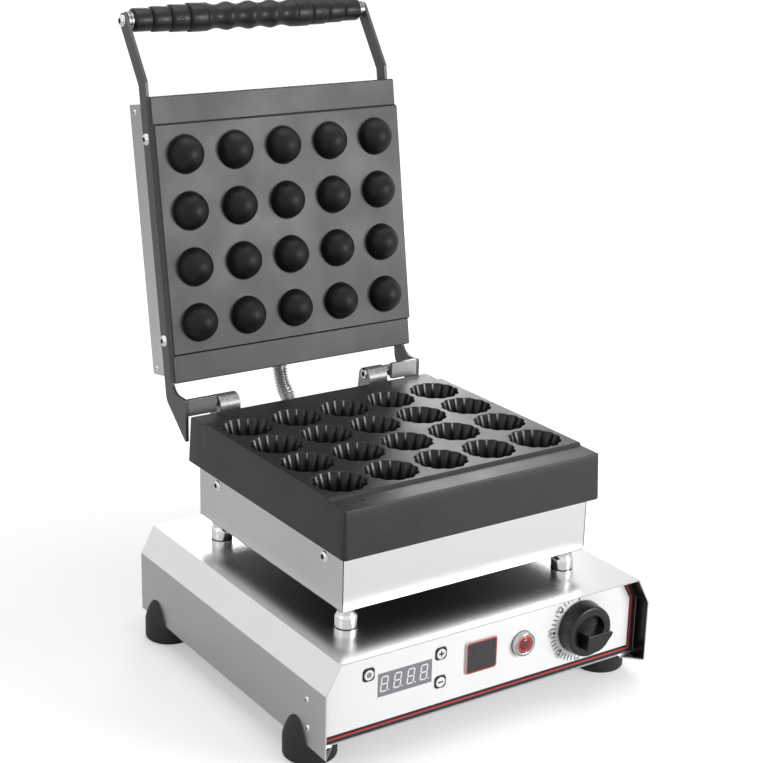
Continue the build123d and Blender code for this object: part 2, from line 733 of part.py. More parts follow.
def arm_outline():
    """Corners of the arm in y and z with the radius of each, from its toe upwards."""
    half = ARM_WIDTH / 2
    up = (SIN, COS)
    back_angle = math.atan2(ARM_N - HANDLE_N, HANDLE_V - ARM_BEND_V)
    rise, fall = math.cos(back_angle), math.sin(back_angle)
    top = lid_point(HANDLE_V, HANDLE_N)
    bent = (rise * SIN + fall * COS, rise * COS - fall * SIN)
    out = (-bent[1], bent[0])
    front = lid_point(0, ARM_N + half)
    back = lid_point(0, ARM_N - half)
    top_front = (top[0] + half * out[0], top[1] + half * out[1])
    top_back = (top[0] - half * out[0], top[1] - half * out[1])
    end_front = (top_front[0] + half * bent[0], top_front[1] + half * bent[1])
    end_back = (top_back[0] + half * bent[0], top_back[1] + half * bent[1])
    toe_y = HINGE_Y - ARM_TOE_REACH
    toe_top = HINGE_Z + ARM_TOE_TOP
    tip = (toe_y, HINGE_Z - ARM_TOE_TIP)
    slope = math.radians(ARM_TOE_SLOPE)
    under = (math.cos(slope), math.sin(slope))
    tip_round, toe_round, inner_round, front_round, back_round, heel_round = ARM_CORNERS
    return [
        (tip, tip_round),
        ((toe_y, toe_top), toe_round),
        (meet((toe_y, toe_top), (1, 0), front, up), inner_round),
        (meet(front, up, top_front, bent), front_round),
        (end_front, half - ARM_END_FLAT),
        (end_back, half - ARM_END_FLAT),
        (meet(back, up, top_back, bent), back_round),
        (meet(back, up, tip, under), heel_round),
    ]


def make_arms():
    corners = arm_outline()
    for name, side in SIDES:
        inner = side * ARM_INNER
        outer = side * ARM_OUTER
        points = [(inner, y, z) for (y, z), _ in corners]
        edge = FilletPolyline(*points, radius=[r for _, r in corners], close=True)
        arm = extrude(make_face(edge), amount=ARM_THICKNESS, dir=(side, 0, 0))
        arm -= peg_x(SCREW_RADIUS + FIT_GAP, inner, outer, HANDLE_Y, HANDLE_Z, SCREW_SIDES)
        for place, v in (("lower", -SCREW_V), ("upper", SCREW_V)):
            y, z = lid_point(v, SCREW_N)
            arm -= peg_x(SCREW_RADIUS + FIT_GAP, inner, outer, y, z, SCREW_SIDES)
            save(f"arm_screw_{place}_{name}", dome_screw(side, y, z))
        save(f"lid_arm_{name}", arm)
        save(f"handle_screw_{name}", dome_screw(side, HANDLE_Y, HANDLE_Z))


def dome_screw(side, y, z):
    """Screw with a domed head on the arm's outer face and its shank through the arm."""
    profile = [
        (0, ARM_OUTER + SCREW_HEAD),
        (SCREW_HEAD_RADIUS * SCREW_CROWN[0], ARM_OUTER + SCREW_HEAD * SCREW_CROWN[1]),
        (SCREW_HEAD_RADIUS, ARM_OUTER),
        (SCREW_RADIUS, ARM_OUTER),
        (SCREW_RADIUS, HOUSING_HALF_X - SCREW_REACH),
        (0, HOUSING_HALF_X - SCREW_REACH),
    ]
    return turned_x(profile, 0, y, z, side, SCREW_SIDES)


def grip_profile():
    """Radius and place of the grip from its end to its middle: drums, then finger hollows."""
    points = []
    x = -GRIP_HALF
    for radius in DRUM_RADII:
        points.append((radius - GROOVE_DEPTH, x))
        points.append((radius, x + GROOVE_WIDTH / 2))
        x += DRUM_LENGTH
        points.append((radius, x - GROOVE_WIDTH / 2))
    wave = -2 * x / WAVE_COUNT
    for step in range(WAVE_COUNT * WAVE_STEPS // 2 + 1):
        hollow = abs(math.sin(math.pi * step / WAVE_STEPS))
        radius = RIDGE_RADIUS - (RIDGE_RADIUS - VALLEY_RADIUS) * hollow
        points.append((radius, x + wave * step / WAVE_STEPS))
    return points


def make_handle():
    half = grip_profile()
    bore = ROD_RADIUS + SEAT_GAP
    whole = half + [(r, -x) for r, x in reversed(half[:-1])] + [(bore, GRIP_HALF), (bore, -GRIP_HALF)]
    save("handle_grip", turned_x(whole, 0, HANDLE_Y, HANDLE_Z, 1, GRIP_SIDES))

    rod = peg_x(ROD_RADIUS, -ARM_INNER, ARM_INNER, HANDLE_Y, HANDLE_Z, GRIP_SIDES)
    length = HANDLE_SPACER_LENGTH
    for name, side in SIDES:
        depth = side * (HOUSING_HALF_X - SCREW_REACH)
        end = side * ARM_INNER
        rod -= peg_x(SCREW_RADIUS + FIT_GAP, depth, end, HANDLE_Y, HANDLE_Z, SCREW_SIDES)
        profile = [(bore, 0), (HANDLE_SPACER_RADIUS, 0), (HANDLE_SPACER_RADIUS, length), (bore, length)]
        spacer = turned_x(profile, side * GRIP_HALF, HANDLE_Y, HANDLE_Z, side, GRIP_SIDES)
        save(f"handle_spacer_{name}", spacer)
    save("handle_rod", rod)


def conduit_path():
    """Centre line from the lid's gland down to the one in the lower housing."""
    start_v = -LID_HOUSING_BOTTOM - GLAND_FLANGE
    end_y = HOUSING_BACK + GLAND_FLANGE
    end_z = HOUSING_BOTTOM + HOUSING_GLAND_RISE
    route = [
        lid_point(start_v, LID_GLAND_N),
        lid_point(start_v - CONDUIT_UPPER_RUN, LID_GLAND_N),
        CONDUIT_MIDDLE,
        (end_y + CONDUIT_LOWER_RUN, end_z),
        (end_y, end_z),
    ]
    points = [(0, y, z) for y, z in route]
    return FilletPolyline(*points, radius=list(CONDUIT_BEND_RADII))


def conduit_ring(path, distance, radius):
    share = min(max(distance / path.length, 0), 1)
    plane = Plane(path @ share, x_dir=(1, 0, 0), z_dir=path % share)
    return [plane.from_local_coords(point) for point in ring(radius, 0, CONDUIT_SIDES)]


def skin(rings):
    """Triangles between rings that may lean against each other."""
    faces = []
    for low, high in zip(rings, rings[1:]):
        for i in range(len(low)):
            j = (i + 1) % len(low)
            faces.append(facet([low[i], low[j], high[j]]))
            faces.append(facet([low[i], high[j], high[i]]))
    return faces


def make_conduit():
    path = conduit_path()
    count = int(path.length // CONDUIT_PITCH)
    pitch = path.length / count
    ribs = []
    for rib in range(count):
        ribs.append(conduit_ring(path, rib * pitch, CONDUIT_ROOT))
        ribs.append(conduit_ring(path, (rib + RIB_START) * pitch, CONDUIT_RADIUS))
        ribs.append(conduit_ring(path, (rib + RIB_END) * pitch, CONDUIT_RADIUS))
    ribs.append(conduit_ring(path, path.length, CONDUIT_ROOT))
    bore = [conduit_ring(path, rib * pitch, CONDUIT_BORE) for rib in range(0, count, 2)]
    bore.append(conduit_ring(path, path.length, CONDUIT_BORE))
    ends = skin([ribs[0], bore[0]]) + skin([ribs[-1], bore[-1]])
    hose = Solid(Shell(skin(ribs) + skin(bore) + ends))
    print("conduit", round(path.length, 1), "mm long,", count, "ribs,", round(hose.volume), "mm3")
    save("conduit", hose)


def make_glands():
    """Flanged bushings that hold the conduit's two ends."""
    profile = [
        (CONDUIT_BORE, 0),
        (GLAND_RADIUS, 0),
        (GLAND_RADIUS, GLAND_FLANGE),
        (GLAND_NECK, GLAND_FLANGE),
        (GLAND_NECK, GLAND_FLANGE + GLAND_REACH),
        (CONDUIT_BORE, GLAND_FLANGE + GLAND_REACH),
    ]
    upper = turned_y(profile, 0, -LID_HOUSING_BOTTOM - GLAND_FLANGE, LID_GLAND_N)
    save("conduit_gland_upper", LID.location * upper)
    gland_z = HOUSING_BOTTOM + HOUSING_GLAND_RISE
    save("conduit_gland_lower", turned_y(profile, 0, HOUSING_BACK + GLAND_FLANGE, gland_z, -1))


def make_display_and_keys():
    switch_front = PANEL_BACK + MOVING_GAP + KEY_FLANGE + KEY_TRAVEL + MOVING_GAP
    board_front = switch_front + SWITCH_DEPTH
    keys = list(key_places())
    board = block(
        FUNCTION_X - BOARD_MARGIN, KEY_X + BOARD_MARGIN, board_front, board_front + BOARD_THICKNESS,
        CONTROLS_Z - KEY_SPREAD / 2 - BOARD_MARGIN, CONTROLS_Z + KEY_SPREAD / 2 + BOARD_MARGIN,
    )
    half = SWITCH_SIZE / 2
    for _, x, z, _, _ in keys:
        board += block(x - half, x + half, switch_front, board_front, z - half, z + half)
    save("control_board", board)

    half_x = DISPLAY_WIDTH / 2
    half_z = DISPLAY_HEIGHT / 2
    display = block(
        DISPLAY_X - half_x, DISPLAY_X + half_x, PANEL_FACE + OVERLAY / 2, board_front,
        CONTROLS_Z - half_z, CONTROLS_Z + half_z,
    )
    save("display_module", display)

    for name, x, z, wide, high in keys:
        key = key_plate(wide, high, x, z, PANEL_FACE - KEY_PROUD, PANEL_BACK + MOVING_GAP)
        flange_back = PANEL_BACK + MOVING_GAP + KEY_FLANGE
        key += key_plate(
            wide + 2 * KEY_FLANGE, high + 2 * KEY_FLANGE, x, z, PANEL_BACK + MOVING_GAP, flange_back
        )
        save(name, key)


def make_lamp():
    bezel = turned_y(
        [
            (LENS_RADIUS + SEAT_GAP, -LAMP_PROUD),
            (LAMP_RADIUS - LAMP_LIP, -LAMP_PROUD),
            (LAMP_RADIUS, -LAMP_PROUD + LAMP_LIP),
            (LAMP_RADIUS, 0),
            (LAMP_BODY_RADIUS, 0),
            (LAMP_BODY_RADIUS, LAMP_BODY_DEPTH),
            (0, LAMP_BODY_DEPTH),
            (0, -LAMP_PROUD + LENS_DEPTH),
            (LENS_RADIUS + SEAT_GAP, -LAMP_PROUD + LENS_DEPTH),
        ],
        LAMP_X,
        PANEL_FACE,
        DIALS_Z,
    )
    save("lamp_bezel", bezel)
    crown = [
        (0, -LENS_CROWN),
        (LENS_RADIUS * LENS_CROWN_EDGE, 0),
        (LENS_RADIUS, LENS_CROWN),
        (LENS_RADIUS, LENS_DEPTH),
        (0, LENS_DEPTH),
    ]
    save("lamp_lens", turned_y(crown, LAMP_X, PANEL_FACE - LAMP_PROUD, DIALS_Z))


def make_thermostat():
    half = THERMOSTAT_SIZE / 2
    body = block(
        KNOB_X - half, KNOB_X + half, PANEL_BACK, PANEL_BACK + THERMOSTAT_DEPTH,
        DIALS_Z - half, DIALS_Z + half,
    )
    body += peg_y(BUSHING_RADIUS, PANEL_FACE, PANEL_BACK, KNOB_X, DIALS_Z)
    shaft_end = PANEL_BACK + THERMOSTAT_DEPTH / 2
    body -= rod_y(SHAFT_RADIUS + RUNNING_GAP, PANEL_FACE, shaft_end, KNOB_X, DIALS_Z)
    save("thermostat_body", body)

    knob_back = PANEL_FACE - KNOB_STANDOFF
    dish_floor = knob_back - KNOB_DEPTH + KNOB_DISH
    shaft_front = dish_floor + KNOB_DISH / 2
    shaft = rod_y(SHAFT_RADIUS, shaft_front, shaft_end - MOVING_GAP, KNOB_X, DIALS_Z)
    save("thermostat_shaft", shaft)

    front_radius = KNOB_RADIUS - KNOB_TAPER
    dish = front_radius - KNOB_WALL
    knob = turned_y(
        [
            (0, 0),
            (KNOB_RADIUS, 0),
            (front_radius, KNOB_DEPTH),
            (dish, KNOB_DEPTH),
            (dish - KNOB_DISH_DRAFT, KNOB_DEPTH - KNOB_DISH),
            (0, KNOB_DEPTH - KNOB_DISH),
        ],
        0,
        0,
        0,
        -1,
        KNOB_SIDES,
    )
    corner = math.sqrt(BLADE_RADIUS**2 - BLADE_BACK**2)
    outline = [(-BLADE_BACK, -corner), (-BLADE_BACK, BLADE_RISE), (BLADE_SHOULDER, BLADE_RISE), BLADE_TIP]
    for angle in BLADE_ARC:
        turn = math.radians(angle)
        outline.append((BLADE_RADIUS * math.cos(turn), BLADE_RADIUS * math.sin(turn)))
    knob += prism_y(outline, -KNOB_DEPTH - BLADE_PROUD, -KNOB_DEPTH + KNOB_DISH)
    knob -= peg_y(SHAFT_RADIUS + 2 * SEAT_GAP, shaft_front - knob_back, 0, 0, 0)
    save("thermostat_knob", Pos(KNOB_X, knob_back, DIALS_Z) * knob)


def make_rear_entry():
    """Gland for the supply lead in the rear panel, terminal block on the floor plate."""
    gland = turned_y(
        [
            (0, ENTRY_LENGTH),
            (ENTRY_RADIUS - ENTRY_LIP, ENTRY_LENGTH),
            (ENTRY_RADIUS, ENTRY_LENGTH - ENTRY_LIP),
            (ENTRY_RADIUS, 0),
            (ENTRY_NECK, 0),
            (ENTRY_NECK, -ENTRY_INSIDE),
            (0, -ENTRY_INSIDE),
        ],
        ENTRY_X,
        REAR_FACE,
        ENTRY_Z,
    )
    gland -= rod_y(ENTRY_BORE, REAR_FACE - ENTRY_INSIDE, REAR_FACE + ENTRY_LENGTH, ENTRY_X, ENTRY_Z)
    save("cord_gland", gland)
    long, deep, high = TERMINAL_SIZE
    x, y = TERMINAL_PLACE
    floor_top = COVER_BOTTOM + 2 * SHEET
    save("terminal_block", Pos(x, y, floor_top + high / 2) * Box(long, deep, high))


make_base_cover()
make_panels()
make_feet()
make_spacers()
make_lower_housing()
make_lower_plate()
make_heating()
make_upper_plate()
make_lid_housing()
make_hinge()
make_arms()
make_handle()
make_conduit()
make_glands()
make_display_and_keys()
make_lamp()
make_thermostat()
make_rear_entry()
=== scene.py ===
import json
import math

import bmesh
import bpy
import numpy as np
from mathutils import Matrix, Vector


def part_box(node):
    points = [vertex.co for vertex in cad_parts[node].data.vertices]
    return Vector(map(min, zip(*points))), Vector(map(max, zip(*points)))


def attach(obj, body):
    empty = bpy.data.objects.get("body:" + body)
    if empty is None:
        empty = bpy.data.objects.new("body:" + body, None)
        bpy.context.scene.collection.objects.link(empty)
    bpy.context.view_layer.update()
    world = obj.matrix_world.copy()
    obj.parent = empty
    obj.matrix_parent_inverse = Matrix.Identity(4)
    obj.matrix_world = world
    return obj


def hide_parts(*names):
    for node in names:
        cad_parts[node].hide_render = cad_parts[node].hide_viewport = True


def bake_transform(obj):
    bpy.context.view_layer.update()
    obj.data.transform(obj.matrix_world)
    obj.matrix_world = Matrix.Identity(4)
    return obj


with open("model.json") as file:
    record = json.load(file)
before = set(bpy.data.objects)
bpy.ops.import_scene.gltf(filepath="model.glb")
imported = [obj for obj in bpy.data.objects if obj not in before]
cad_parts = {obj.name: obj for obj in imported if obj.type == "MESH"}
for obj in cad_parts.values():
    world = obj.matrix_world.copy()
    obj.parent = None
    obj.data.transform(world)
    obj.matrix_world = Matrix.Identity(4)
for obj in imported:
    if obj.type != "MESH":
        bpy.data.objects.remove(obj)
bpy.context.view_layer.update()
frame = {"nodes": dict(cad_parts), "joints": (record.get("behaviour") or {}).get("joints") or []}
cad = frame["nodes"]

# Camera: a long lens in front of the machine's left front corner, a little above the open lid.
# It is level with the photograph's own view; the small shift places the object in its frame.
BASE_Y = (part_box("base_cover")[0].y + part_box("base_cover")[1].y) / 2
AZIMUTH, ELEVATION, ROLL = math.radians(-33.37), math.radians(18.33), math.radians(1.13)
EYE = (-0.76487, BASE_Y - 1.10427, 0.68625)


def linked(name, data):
    """New object in the scene for a camera, lamp or mesh."""
    made = bpy.data.objects.new(name, data)
    bpy.context.scene.collection.objects.link(made)
    return made


def standing(across, up, out, place):
    """Matrix whose columns are an object's three directions and its place."""
    pose = np.eye(4)
    pose[:3] = np.stack([across, up, out, place], -1)
    return Matrix(pose.tolist())


camera_data = bpy.data.cameras.new("camera")
camera = linked("camera", camera_data)
back = np.array([
    math.sin(AZIMUTH) * math.cos(ELEVATION),
    -math.cos(AZIMUTH) * math.cos(ELEVATION),
    math.sin(ELEVATION),
])
level = np.cross((0, 0, 1), back)
level /= np.linalg.norm(level)
upright = np.cross(back, level)
right = level * math.cos(ROLL) + upright * math.sin(ROLL)
up = upright * math.cos(ROLL) - level * math.sin(ROLL)
camera.matrix_world = standing(right, up, back, EYE)
camera_data.sensor_width = 36
camera_data.lens = 80.96
camera_data.shift_x = 0.0339
camera_data.shift_y = 0.0078
camera_data.clip_end = 20
bpy.context.scene.camera = camera
bpy.context.scene.view_settings.view_transform = "Standard"


# Studio: a white floor that runs out of sight under soft white panels, as for a catalogue
# picture. The floor is white to the camera and in the polished steel, and keeps the shadow.
WHITE = (1, 1, 1, 1)


def wire(node, *ordered, **named):
    """Sets a node up. Lower-case names are its settings; all else is sockets, in order or by name,
    each given a value, another node's output, or a node that stands for its first output."""
    sockets = dict(enumerate(ordered))
    for name, value in named.items():
        if name.islower():
            setattr(node, name, value)
        else:
            sockets[name.replace("_", " ")] = value
    for socket, value in sockets.items():
        if isinstance(value, bpy.types.Node):
            value = value.outputs[0]
        if isinstance(value, bpy.types.NodeSocket):
            node.id_data.links.new(value, node.inputs[socket])
        else:
            node.inputs[socket].default_value = value
    return node


def add_node(tree, kind, *ordered, **named):
    """New shader node of one kind, set up as wire does."""
    return wire(tree.nodes.new(f"ShaderNode{kind}"), *ordered, **named)


def seen_rays(tree, glossy):
    """Adds up Light Path's outputs: 1 for camera and transmission rays, glossy for glossy rays."""
    path = add_node(tree, "LightPath").outputs
    seen = add_node(tree, "Math", path["Is Camera Ray"], path["Is Transmission Ray"])
    return add_node(tree, "Math", path["Is Glossy Ray"], glossy, seen, operation="MULTIPLY_ADD")


world = bpy.data.worlds.new("studio")
world.use_nodes = True
tree = world.node_tree
tree.nodes.clear()
lit = add_node(tree, "Background", Color=WHITE, Strength=0.42)
seen = add_node(tree, "Background", Color=WHITE, Strength=1.0)
both = add_node(tree, "MixShader", seen_rays(tree, 1), lit, seen)
add_node(tree, "OutputWorld", Surface=both)
bpy.context.scene.world = world


def soft_panel(name, place, aim, size, power):
    """Rectangular area lamp at place that faces aim."""
    data = bpy.data.lights.new(name, "AREA")
    data.shape = "RECTANGLE"
    data.size, data.size_y = size
    data.energy = power
    away = np.array(place, float) - np.array(aim, float)
    away /= np.linalg.norm(away)
    side = np.cross((0, 0, 1), away)
    side /= np.linalg.norm(side)
    linked(name, data).matrix_world = standing(side, np.cross(away, side), away, place)


soft_panel("top_panel", (0.1, 0.1, 1.9), (0, 0, 0.1), (1.4, 1.1), 10)
soft_panel("front_panel_light", (1.05, -1.75, 0.55), (0, 0, 0.2), (0.7, 0.7), 24)
soft_panel("left_panel", (-1.8, -0.3, 0.7), (0, 0, 0.2), (0.9, 1.2), 2)
soft_panel("rear_panel_light", (1.0, 1.58, 0.9), (0.05, -0.05, 0.2), (0.7, 0.5), 6)

floor_mesh = bpy.data.meshes.new("floor")
floor_mesh.from_pydata([(-6, -6, 0), (6, -6, 0), (6, 6, 0), (-6, 6, 0)], [], [(0, 1, 2, 3)])
floor = linked("floor", floor_mesh)

# The floor's matte white takes the shadow. Its glow rises smoothly with the distance from the
# middle; the camera sees all of it, and metal a tenth.
floor_paint = bpy.data.materials.new("floor_paint")
floor_paint.use_nodes = True
tree = floor_paint.node_tree
tree.nodes.clear()
place = add_node(tree, "TexCoord").outputs["Object"]
reach = add_node(tree, "VectorMath", place, operation="LENGTH").outputs["Value"]
lift = add_node(
    tree, "MapRange", reach, From_Min=0.25, From_Max=2.2, To_Min=0.34, To_Max=0.7,
    interpolation_type="SMOOTHSTEP",
)
power = add_node(tree, "Math", seen_rays(tree, 0.1), lift, operation="MULTIPLY")
matte = add_node(tree, "BsdfDiffuse", Color=(0.88, 0.88, 0.88, 1))
glow = add_node(tree, "Emission", Color=WHITE, Strength=power)
add_node(tree, "OutputMaterial", Surface=add_node(tree, "AddShader", matte, glow))
floor_mesh.materials.append(floor_paint)


# Sheet steel: the base cover, panels and both housings are folded from stainless sheet with a
# very fine brushed grain along X, and spot welded or screwed together inside.
MM = 0.001
FOLD_ROUND = 0.4 * MM
# Dark grey painted on steel faces that turn down or inwards: painted shade.
STEEL_SHADE_GREY = (0.03, 0.03, 0.031)


def open_group(name, control, kind, default, *outputs):
    """Node group with one input and its outputs: gives it, its input, its end and the place."""
    group = bpy.data.node_groups.new(name, "ShaderNodeTree")
    socket = group.interface.new_socket(control, in_out="INPUT", socket_type=kind)
    socket.default_value = default
    for output in outputs:
        group.interface.new_socket(output, in_out="OUTPUT", socket_type="NodeSocketFloat")
    enter = group.nodes.new("NodeGroupInput").outputs[control]
    leave = group.nodes.new("NodeGroupOutput")
    return group, enter, leave, add_node(group, "TexCoord").outputs["Object"]


# Brushed grain: noise pulled out along one direction for the height, and broad clouds.
brushed, enter, leave, place = open_group(
    "brushed_sheet", "Lines", "NodeSocketVector", (6, 2400, 2400), "Height", "Clouds"
)
pull = add_node(brushed, "VectorMath", place, enter, operation="MULTIPLY")
lines = add_node(brushed, "TexNoise", Vector=pull, Scale=1, Detail=2)
clouds = add_node(brushed, "TexNoise", Vector=place, Scale=9, Detail=2)
wire(leave, Height=lines, Clouds=clouds)


def map_value(tree, source, low, high, start=0.3, end=0.7):
    """Turns source, from start to end, into low to high."""
    return add_node(tree, "MapRange", source, start, end, low, high)


def mix_colours(tree, mask, dark, pale):
    """Colour between dark and pale by a mask; each is a colour or another node's output."""
    dark, pale = ((*end, 1) if isinstance(end, tuple) else end for end in (dark, pale))
    mix = add_node(tree, "Mix", Factor=mask, A=dark, B=pale, data_type="RGBA")
    return mix.outputs["Result"]


def larger(tree, first, second):
    """The larger of two values at each point."""
    return add_node(tree, "Math", first, second, operation="MAXIMUM")


def facing(tree, axis, start, end):
    """Mask from 0 to 1 as the piece's own normal along one axis goes from start to end."""
    normal = add_node(tree, "TexCoord").outputs["Normal"]
    return map_value(tree, add_node(tree, "SeparateXYZ", normal).outputs[axis], 0, 1, start, end)


def new_material(name):
    material = bpy.data.materials.new(name)
    material.use_nodes = True
    return material, material.node_tree, material.node_tree.nodes["Principled BSDF"]


def steel_sheet(name, lines, colour, rough, side=None, shaded_below=False, shaded_inside=False):
    """Brushed steel. Walls that face along X are painted the darker grey side as shade; faces
    that point down, or inwards on the side walls, are painted a dark steel grey as shade."""
    material, tree, shader = new_material(name)
    grain = add_node(tree, "Group", node_tree=brushed, Lines=lines).outputs
    clouds, height = grain["Clouds"], grain["Height"]
    tint = mix_colours(tree, clouds, (colour * 0.96,) * 3, (colour, colour, colour * 1.004))
    gloss = map_value(tree, height, rough, rough + 0.025)
    # Painted shade: walls facing along X take the grey side, clouded a little.
    if side:
        walls = larger(tree, facing(tree, "X", 0.93, 0.99), facing(tree, "X", -0.93, -0.99))
        side_shade_tint = mix_colours(tree, clouds, (side * 0.9,) * 3, (side * 1.08,) * 3)
        tint = mix_colours(tree, walls, tint, side_shade_tint)
    # Faces that turn inwards on the side walls are painted the dark steel grey as shade.
    if shaded_inside:
        at = add_node(tree, "TexCoord").outputs
        inwards = add_node(tree, "VectorMath", at["Object"], at["Normal"], operation="MULTIPLY")
        along_x = add_node(tree, "SeparateXYZ", inwards).outputs["X"]
        tint = mix_colours(tree, map_value(tree, along_x, 0, 1, -0.1, -0.13), tint, STEEL_SHADE_GREY)
    # Faces that point down are painted the dark steel grey and made rough: painted shade.
    if shaded_below:
        below = facing(tree, "Z", -0.9, -0.98)
        tint = mix_colours(tree, below, tint, STEEL_SHADE_GREY)
        gloss = larger(tree, gloss, map_value(tree, below, 0, 0.6, 0, 1))
    normal = add_node(tree, "Bump", Distance=0.001 * MM, Strength=0.08, Height=height)
    wire(shader, Metallic=1.0, Base_Color=tint, Roughness=gloss, Normal=normal)
    return material


def dress(material, *nodes):
    """Gives CAD nodes one material."""
    for node in nodes:
        mesh = cad[node].data
        mesh.materials.clear()
        mesh.materials.append(material)


def placed(name, mesh, body, replaces=()):
    """Object of a finished mesh that rides on a body and stands for the nodes it replaces."""
    made = linked(name, mesh)
    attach(made, body)
    if replaces:
        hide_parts(*replaces)
    return made


def round_edges(made, width, segments):
    """Bevel on the edges over 25 degrees; the faces beside them keep their normals."""
    edge = made.modifiers.new("rounded", "BEVEL")
    edge.width, edge.segments = width, segments
    edge.limit_method = "ANGLE"
    edge.angle_limit = math.radians(25)
    edge.harden_normals = True


def tidied(mesh, source, weld, join=False):
    """Puts source's faces into mesh, merged at their seams, turned outwards and shaded smooth;
    join also makes one face of those in one plane."""
    tidy = bmesh.new()
    tidy.from_mesh(source)
    bmesh.ops.remove_doubles(tidy, verts=tidy.verts, dist=weld)
    if join:
        flat = math.radians(1)
        bmesh.ops.dissolve_limit(tidy, angle_limit=flat, verts=tidy.verts, edges=tidy.edges)
    else:
        bmesh.ops.dissolve_degenerate(tidy, edges=tidy.edges, dist=weld / 2)
    bmesh.ops.recalc_face_normals(tidy, faces=tidy.faces)
    tidy.to_mesh(mesh)
    tidy.free()
    mesh.shade_smooth()


def softened(node, body, material, width):
    """Copy of a CAD node with its edges rounded, which replaces the node."""
    mesh = bpy.data.meshes.new(f"{node}_soft")
    tidied(mesh, cad[node].data, 0.003 * MM, join=True)
    mesh.materials.append(material)
    mesh.set_sharp_from_angle(angle=math.radians(30))
    round_edges(placed(f"{node}_soft", mesh, body, [node]), width, 2)


# The third number is the painted shade of walls facing along X; inward and down faces are painted
# shade too.
cover_steel = steel_sheet("cover_steel", (2400, 14, 2400), 0.74, 0.24, 0.50, shaded_inside=True)
housing_steel = steel_sheet("housing_steel", (14, 14, 2400), 0.86, 0.2, 0.60, shaded_below=True)
panel_steel = steel_sheet("panel_steel", (6, 2400, 2400), 0.72, 0.3)
softened("lower_housing", "base", housing_steel, FOLD_ROUND)
softened("lid_housing", "lid", housing_steel, FOLD_ROUND)
dress(cover_steel, "base_cover")
dress(panel_steel, "front_panel", "rear_panel", "bottom_plate", "lower_clamp", "upper_clamp")


# Cast plates: aluminium castings with twenty cells on a square pitch, each with a fluted cup in
# the lower plate or a dome in the lid's. The lands are ground; cups and domes are coated black.
PITCH = 48 * MM
COLUMNS, ROWS = 5, 4
hinge = next(joint for joint in frame["joints"] if joint["name"] == "lid_hinge")
HINGE_Y, HINGE_Z = hinge["pos_m"][1], hinge["pos_m"][2]
LEAN = math.radians(9)
GRID_Y = BASE_Y + 3 * MM
LAND_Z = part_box("lower_plate")[1].z
CASTING_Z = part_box("lower_plate")[0].z
CLOSED_GAP = 1.5 * MM
HINGE_BACK = HINGE_Y - GRID_Y
HINGE_N = LAND_Z + CLOSED_GAP - HINGE_Z


def on_lid(points):
    """Carries points from the lid's own x, height v and outward n to their place at rest."""
    rise = points[..., 1] + HINGE_BACK
    out = points[..., 2] - HINGE_N
    y = HINGE_Y + rise * math.sin(LEAN) - out * math.cos(LEAN)
    z = HINGE_Z + rise * math.cos(LEAN) + out * math.sin(LEAN)
    return np.stack([points[..., 0], y, z], -1)


def surface_faces(rows, columns, wrap, start):
    """Quads between neighbouring points of a grid, closed round its columns if wrap is set."""
    i = np.arange(rows - 1)[:, None]
    j = np.arange(columns if wrap else columns - 1)[None, :]
    k = (j + 1) % columns
    near, far = i * columns, (i + 1) * columns
    quads = np.stack([near + j, near + k, far + k, far + j], -1)
    return quads.reshape(-1, 4) + start


def piece(name, sheets, body, material, replaces=(), sharp=35, masks=None, coated=None):
    """One object from grids of points: merged at their seams, turned outwards and shaded smooth.
    sheets holds pairs of a grid and whether its columns close into a ring."""
    points, faces, count = [], [], 0
    for grid, wrap in sheets:
        rows, columns = grid.shape[:2]
        faces.append(surface_faces(rows, columns, wrap, count))
        points.append(grid.reshape(-1, 3))
        count += rows * columns
    points = np.concatenate(points)
    faces = np.concatenate(faces)
    mesh = bpy.data.meshes.new(name)
    mesh.from_pydata(points.tolist(), [], faces.tolist())
    if masks is not None:
        mesh.attributes.new("coat", "FLOAT", "POINT")
        mesh.attributes["coat"].data.foreach_set("value", np.concatenate(masks).astype(np.float32))
    tidied(mesh, mesh, 0.004 * MM)
    mesh.set_sharp_from_angle(angle=math.radians(sharp))
    mesh.materials.append(material)
    if coated:
        mesh.materials.append(coated)
        coat = np.empty(len(mesh.vertices))
        mesh.attributes["coat"].data.foreach_get("value", coat)
        corners = np.empty(len(mesh.loops), np.int32)
        mesh.loops.foreach_get("vertex_index", corners)
        starts = np.empty(len(mesh.polygons), np.int32)
        mesh.polygons.foreach_get("loop_start", starts)
        inside = np.minimum.reduceat(coat[corners], starts) > 0.5
        mesh.polygons.foreach_set("material_index", inside.astype(np.int32))
    return placed(name, mesh, body, replaces)


def cell_rings(rim, rings):
    """One cell from its rim's radii, whose first ring is the cell's square edge. Each other ring
    gives a scale of the rim, what is added to that radius, and a height."""
    angles = np.arange(len(rim)) * 2 * math.pi / len(rim)
    scale, more, height = np.array(rings).T[..., None]
    edge = PITCH / 2 / np.maximum(abs(np.cos(angles)), abs(np.sin(angles)))
    radii = np.vstack([edge, scale * rim + more])
    heights = np.vstack([0 * edge, height + 0 * rim])
    return np.stack([radii * np.cos(angles), radii * np.sin(angles), heights], -1)


def quarter(steps):
    """Pairs of sine and cosine at even steps of a quarter turn."""
    turns = np.linspace(0, math.pi / 2, steps)
    return zip(np.sin(turns), np.cos(turns))


